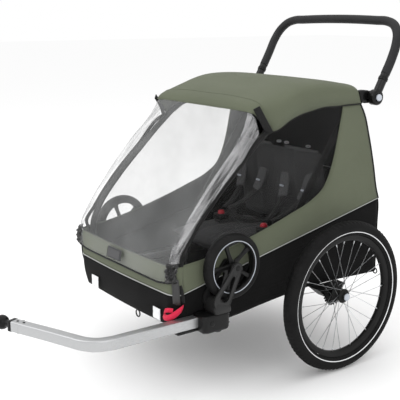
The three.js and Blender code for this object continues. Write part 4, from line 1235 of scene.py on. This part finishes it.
def puff(piece, pressure=4.0, cap=0.006):
    """Cloth simulation on a copy: inside pressure, no gravity, 20 frames. Each point then moves by at
    most `cap` metres, and the pinned points not at all; one subdivision rounds the result."""
    copy = piece.copy()
    copy.data = piece.data.copy()
    scene.collection.objects.link(copy)
    remesh = copy.modifiers.new("voxels", "REMESH")
    remesh.mode, remesh.voxel_size = "VOXEL", 0.006
    bpy.context.view_layer.objects.active = copy
    copy.select_set(True)
    bpy.ops.object.modifier_apply(modifier="voxels")
    rest = np.array([v.co for v in copy.data.vertices])
    held = copy.vertex_groups.new(name="held")
    low = rest[:, 2] < rest[:, 2].min() + 0.012
    held.add([int(i) for i in np.flatnonzero(low)], 1.0, "REPLACE")
    cloth_sim = copy.modifiers.new("cloth", "CLOTH")
    cloth_sim.settings.use_pressure = True
    cloth_sim.settings.uniform_pressure_force = pressure
    cloth_sim.settings.vertex_group_mass = "held"
    cloth_sim.settings.quality = 5
    cloth_sim.settings.effector_weights.gravity = 0
    cloth_sim.point_cache.frame_start, cloth_sim.point_cache.frame_end = 1, 20
    for frame_number in range(1, 21):
        scene.frame_set(frame_number)
    evaluated = copy.evaluated_get(bpy.context.evaluated_depsgraph_get())
    moved = np.array([v.co for v in evaluated.data.vertices])
    step = moved - rest
    length = np.linalg.norm(step, axis=1)[:, None]
    final = rest + step * np.minimum(1, cap / np.maximum(length, 1e-9))
    copy.modifiers.clear()
    copy.data.vertices.foreach_set("co", final.astype(np.float32).ravel())
    copy.data.shade_smooth()
    piece.data = copy.data
    bpy.data.objects.remove(copy)
    scene.frame_set(1)
    rounder = piece.modifiers.new("rounder", "SUBSURF")
    rounder.levels = rounder.render_levels = 1
    print(piece.name, "largest step mm", round(float(length.max()) * 1000, 1), "points", len(rest))
    return piece


seat = puff(cushion("seat_cushion", (464, 342, 56), 9, (0.0, -0.42, 0.42), seat_cloth, (0, -90, 372), 0), 4)
finish_piece(seat, "chassis", "seat_base")
back_tilt = math.degrees(math.atan2(288, 55))
back = puff(cushion("seat_back_cushion", (464, 292, 30), 6, (0.0, -0.42, 0.42), seat_cloth, (0, 62, 555),
                    -back_tilt), 4)
finish_piece(back, "chassis", "seat_back")
pads = []
for side, word in ((1, "left"), (-1, "right")):
    pad = cushion(f"headrest_{word}", (170, 120, 26), 7, (-0.45, 0.45), pad_cloth, (side * 118, 53, 640),
                  -back_tilt, 4, 28, 36)
    pads.append(finish_piece(pad, "chassis"))
print("padded pieces", 2 + len(pads))


# %% [markdown]
# Each seat has two shoulder straps with pads, two lap straps and a strap between the legs. They run to
# a buckle with a red key. Each strap is a flat section carried along a line, without a simulation.

# %% Harness and buckles
seat_middle, seat_foot, seat_rise, seat_lean = 118, 412, 288, 55
pin_axis = (35.69, 254.70)


def back_face(z):
    """The y of the seat back's front face at a height: a straight line that leans back by 55 in 288 mm."""
    return 30 + seat_lean * (z - seat_foot) / seat_rise - 27


harness = []
for side, word in ((1, "left"), (-1, "right")):
    middle = side * seat_middle
    straps = []
    for reach in (-1, 1):
        route = [(middle + reach * 62, back_face(655) - 9, 655),
                 (middle + reach * 60, back_face(600) - 8, 600),
                 (middle + reach * 46, back_face(530) - 18, 530), (middle + reach * 26, -45, 482),
                 (middle + reach * 10, -92, 462)]
        half = np.array([[-1.1, -14], [1.1, -14], [1.5, 0], [1.1, 14], [-1.1, 14], [-1.5, 0]])
        straps.append(swept(f"strap_{word}_{reach}", smooth_line(route, 48), half, web, (1, 0, 0)))
        pad_route = smooth_line(route, 48)[6:26] + [0, -2.5, 2]
        pad_section = rounded_square(1, 0.6) * [4.5, 21]
        straps.append(swept(f"shoulder_pad_{word}_{reach}", pad_route, pad_section, pad_cloth, (1, 0, 0),
                            0.75 + 0.25 * np.sin(np.linspace(0.1, np.pi - 0.1, 20)) ** 0.4))
        ring = np.linspace(0, 2 * np.pi, 28)
        eye = np.array([middle * (0.17 if reach * side < 0 else 1.1), 64, 702])
        loop = eye + np.stack([10 * np.cos(ring), 3 * np.sin(ring), 2.6 * np.sin(ring)], axis=1)
        straps.append(swept(f"strap_ring_{word}_{reach}", loop, round_section(1.8, 8), steel, (0, 1, 0)))
        slider = np.array([(middle + reach * 54, back_face(565) - 26, z) for z in (559, 560, 564, 565)],
                          float)
        straps.append(swept(f"strap_slider_{word}_{reach}", slider, rounded_square(1, 0.4, 3) * [2, 10],
                            plastic_grey, (1, 0, 0), (0.9, 1, 1, 0.9)))
    crotch = smooth_line([(middle, -118, 436), (middle, -130, 426), (middle, -134, 418), (middle, -130, 405)],
                         20)
    straps.append(swept(f"crotch_strap_{word}", crotch, half, web, (1, 0, 0)))
    lap = smooth_line([(middle - 94, 26, 414), (middle - 86, -20, 420), (middle - 60, -74, 432),
                       (middle - 20, -106, 450)], 24)
    straps.append(swept(f"lap_strap_{word}_a", lap, half * [1, 0.85], web, (0, 1, 0.4)))
    straps.append(swept(f"lap_strap_{word}_b", lap * [-1, 1, 1] + [2 * middle, 0, 0], half * [1, 0.85], web,
                        (0, 1, 0.4)))
    for piece in straps:
        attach(piece, "chassis")
    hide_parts(f"harness_{word}")
    harness += straps
    case_line = [(middle, -118, z) for z in (424.5, 426, 430, 437, 443, 444.5)]
    case = swept(f"buckle_{word}_visual", np.array(case_line, float), rounded_square(22, 7, 5), plastic_black,
                 (1, 0, 0), (0.9, 0.98, 1, 1, 0.96, 0.86))
    finish_piece(case, "chassis", f"buckle_{word}")
    key_line = [(middle, -118, z) for z in (443, 448, 453, 456, 457)]
    key = swept(f"buckle_key_{word}", np.array(key_line, float), round_section(12.5, 28), red_plastic,
                (1, 0, 0), (1, 1, 0.92, 0.7, 0.4))
    finish_piece(key, f"buckle_button_{word}", f"buckle_button_{word}")
print("harness pieces", len(harness))

# %% [markdown]
# ## Receivers, lock, pedal and floor
# Most of these parts are rounded sections carried along a line, so their ends can draw in. The tongue
# under the tow arm is a box with rounded edges.

# %% Moulded blocks
def block(name, low, high, material, bevel=4.0):
    """A box between two corners with rounded edges: its eight points are all choices of low or high."""
    corners = np.array([[x, y, z] for x in (low[0], high[0]) for y in (low[1], high[1])
                        for z in (low[2], high[2])], float)
    faces = [(0, 1, 3, 2), (4, 6, 7, 5), (0, 4, 5, 1), (2, 3, 7, 6), (0, 2, 6, 4), (1, 5, 7, 3)]
    piece = weld(make(name, place(corners), faces, material, smooth=False))
    edge = piece.modifiers.new("edge", "BEVEL")
    edge.width, edge.segments, edge.limit_method, edge.angle_limit = bevel / 1000, 3, "ANGLE", 0.5
    piece.data.shade_smooth()
    edge.harden_normals = True
    return piece


print("function for boxes with rounded edges ready")

# %% [markdown]
# The receivers are moulded boxes at the front corners. A fork plugs into each from above, and the tow
# arm plugs into the left one from the front.

# %% Receivers, arm lock, pedal, pins and floor
for side, word in ((1, "left"), (-1, "right")):
    core = np.array([(side * 318, -487, z) for z in (229.5, 231, 237, 262, 276, 281, 282.6)], float)
    section = rounded_square(1, 0.36, 6) * [49, 31.5]
    body = swept(f"receiver_{word}_visual", core, section, plastic_black, (1, 0, 0),
                 (0.86, 0.94, 0.985, 1, 1, 0.98, 0.93))
    finish_piece(body, "chassis", f"receiver_{word}")
    for number, z in enumerate((248, 272)):
        seam = np.array([(side * 317, -485, z - 1), (side * 317, -485, z), (side * 317, -485, z + 1)], float)
        band = swept(f"receiver_band_{word}_{number}", seam, section, plastic_black, (1, 0, 0),
                     (1.0, 1.022, 1.0))
        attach(band, "chassis")
    stem = np.array([[side * 317, -464, z] for z in (236, 240, 296, 300)], float)
    finish_piece(swept(f"fork_stem_{word}", stem, round_section(8, 20), plastic_black, (1, 0, 0)),
                 f"caster_fork_{word}")
    knob = np.array([[side * 317, -464, z] for z in (217.2, 218.2, 221, 235)], float)
    press = swept(f"caster_button_{word}_visual", knob, round_section(13, 32), plastic_dark, (1, 0, 0),
                  (0.82, 0.95, 1, 1))
    finish_piece(press, f"caster_button_{word}", f"caster_release_button_{word}")
tongue = block("receiver_tongue", (291, -606, 232.5), (316, -520, 242.5), plastic_black, 3)
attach(tongue, "chassis")
plunger = np.array([(x, -505, 259) for x in (321, 322, 346, 347, 348, 350.6, 351.4)], float)
lock = swept("tow_arm_lock_visual", plunger, round_section(1, 28), plastic_black, (0, 0, 1),
             (4, 4.5, 4.5, 8, 8.6, 8, 6.4))
finish_piece(lock, "tow_arm_lock", "tow_arm_lock")
u, v = np.meshgrid(np.linspace(-1, 1, 33), np.linspace(-1, 1, 13), indexing="ij")
tread_top = np.stack([60 * u, 291 + 24 * v, 272 + 4.5 * v + 2 * (1 - v * v) + 0.9 * np.cos(24 * u * 3)
                      * (1 - v**6)], axis=-1)
pedal = sheet_of("brake_pedal_visual", tread_top, red_plastic, 6.5, -1)
finish_piece(pedal, "brake_pedal", "brake_pedal")
for side, word in ((1, "left"), (-1, "right")):
    pin = [(0, side * 297.5), (1.6, side * 297.5), (1.6, side * 309), (4.6, side * 309.6), (4.6, side * 312),
           (1.6, side * 312.6), (1.6, side * 330), (0.8, side * 330.9), (0, side * 331)]
    finish_piece(turned(f"brake_pin_{word}_visual", pin, pin_axis, steel, 20), f"brake_pin_{word}",
                 f"brake_pin_{word}")
floor_u, floor_v = np.meshgrid(np.linspace(-262, 262, 30), np.linspace(-590, 250, 40), indexing="ij")
dips = 272.5 + 1.2 * np.sin(floor_u / 40) * np.sin(floor_v / 55)
finish_piece(sheet_of("floor_cloth", np.stack([floor_u, floor_v, dips], axis=-1), black_cloth, 3), "chassis",
             "floor_pan")
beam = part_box("axle_beam")
print("axle beam box", [round(v * 1000, 1) for v in (*beam[0], *beam[1])])
print("floor points", dips.size)

# %% [markdown]
# ## Own mesh data and finishes
# When the cabin folds down, its side and rear cloth crumples between the frame tubes. Here each such piece,
# and the seat back, its pads and its belts, only gets a copy of its mesh data of its own.

# %% Cloth pieces with their own mesh data
for piece in fold_with_cabin:
    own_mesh(piece)
for piece in [back, *pads, *harness]:
    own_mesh(piece)
print("pieces that crumple", len(fold_with_cabin) + 3 + len(harness))

# %% [markdown]
# The axle beam keeps its imported shape and gets powder coat. A table then gives the finish slot for each
# material, and the new pieces whose first material has one are counted.

# %% Axle beam and finish slots
axle = bpy.data.objects["axle_beam"]
axle.material_slots[0].material = tube_black
finishes = {
    "green_fabric": (green,),
    "black_fabric": (black_cloth, lining, seat_cloth, pad_cloth, web, ruffle, piping_black),
    "black_mesh": (mesh_cloth, window),
    "clear_vinyl": (vinyl, vinyl_edge),
    "black_tube": (tube_black,),
    "aluminium": (aluminium, rim_black),
    "black_plastic": (plastic_black, plastic_dark),
    "grey_plastic": (plastic_grey,),
    "red_plastic": (red_plastic,),
    "rubber": (rubber, caster_rubber),
    "steel": (steel,),
    "reflector": (stripe, lens, piping_silver),
}
slot_of = {material.name: slot for slot, group in finishes.items() for material in group}
slotted = 0
for piece in scene.objects:
    first = piece.data.materials[0] if piece.type == "MESH" and len(piece.data.materials) else None
    if first and first.name in slot_of and piece != axle:
        slotted += 1
print("pieces with a finish slot", slotted)
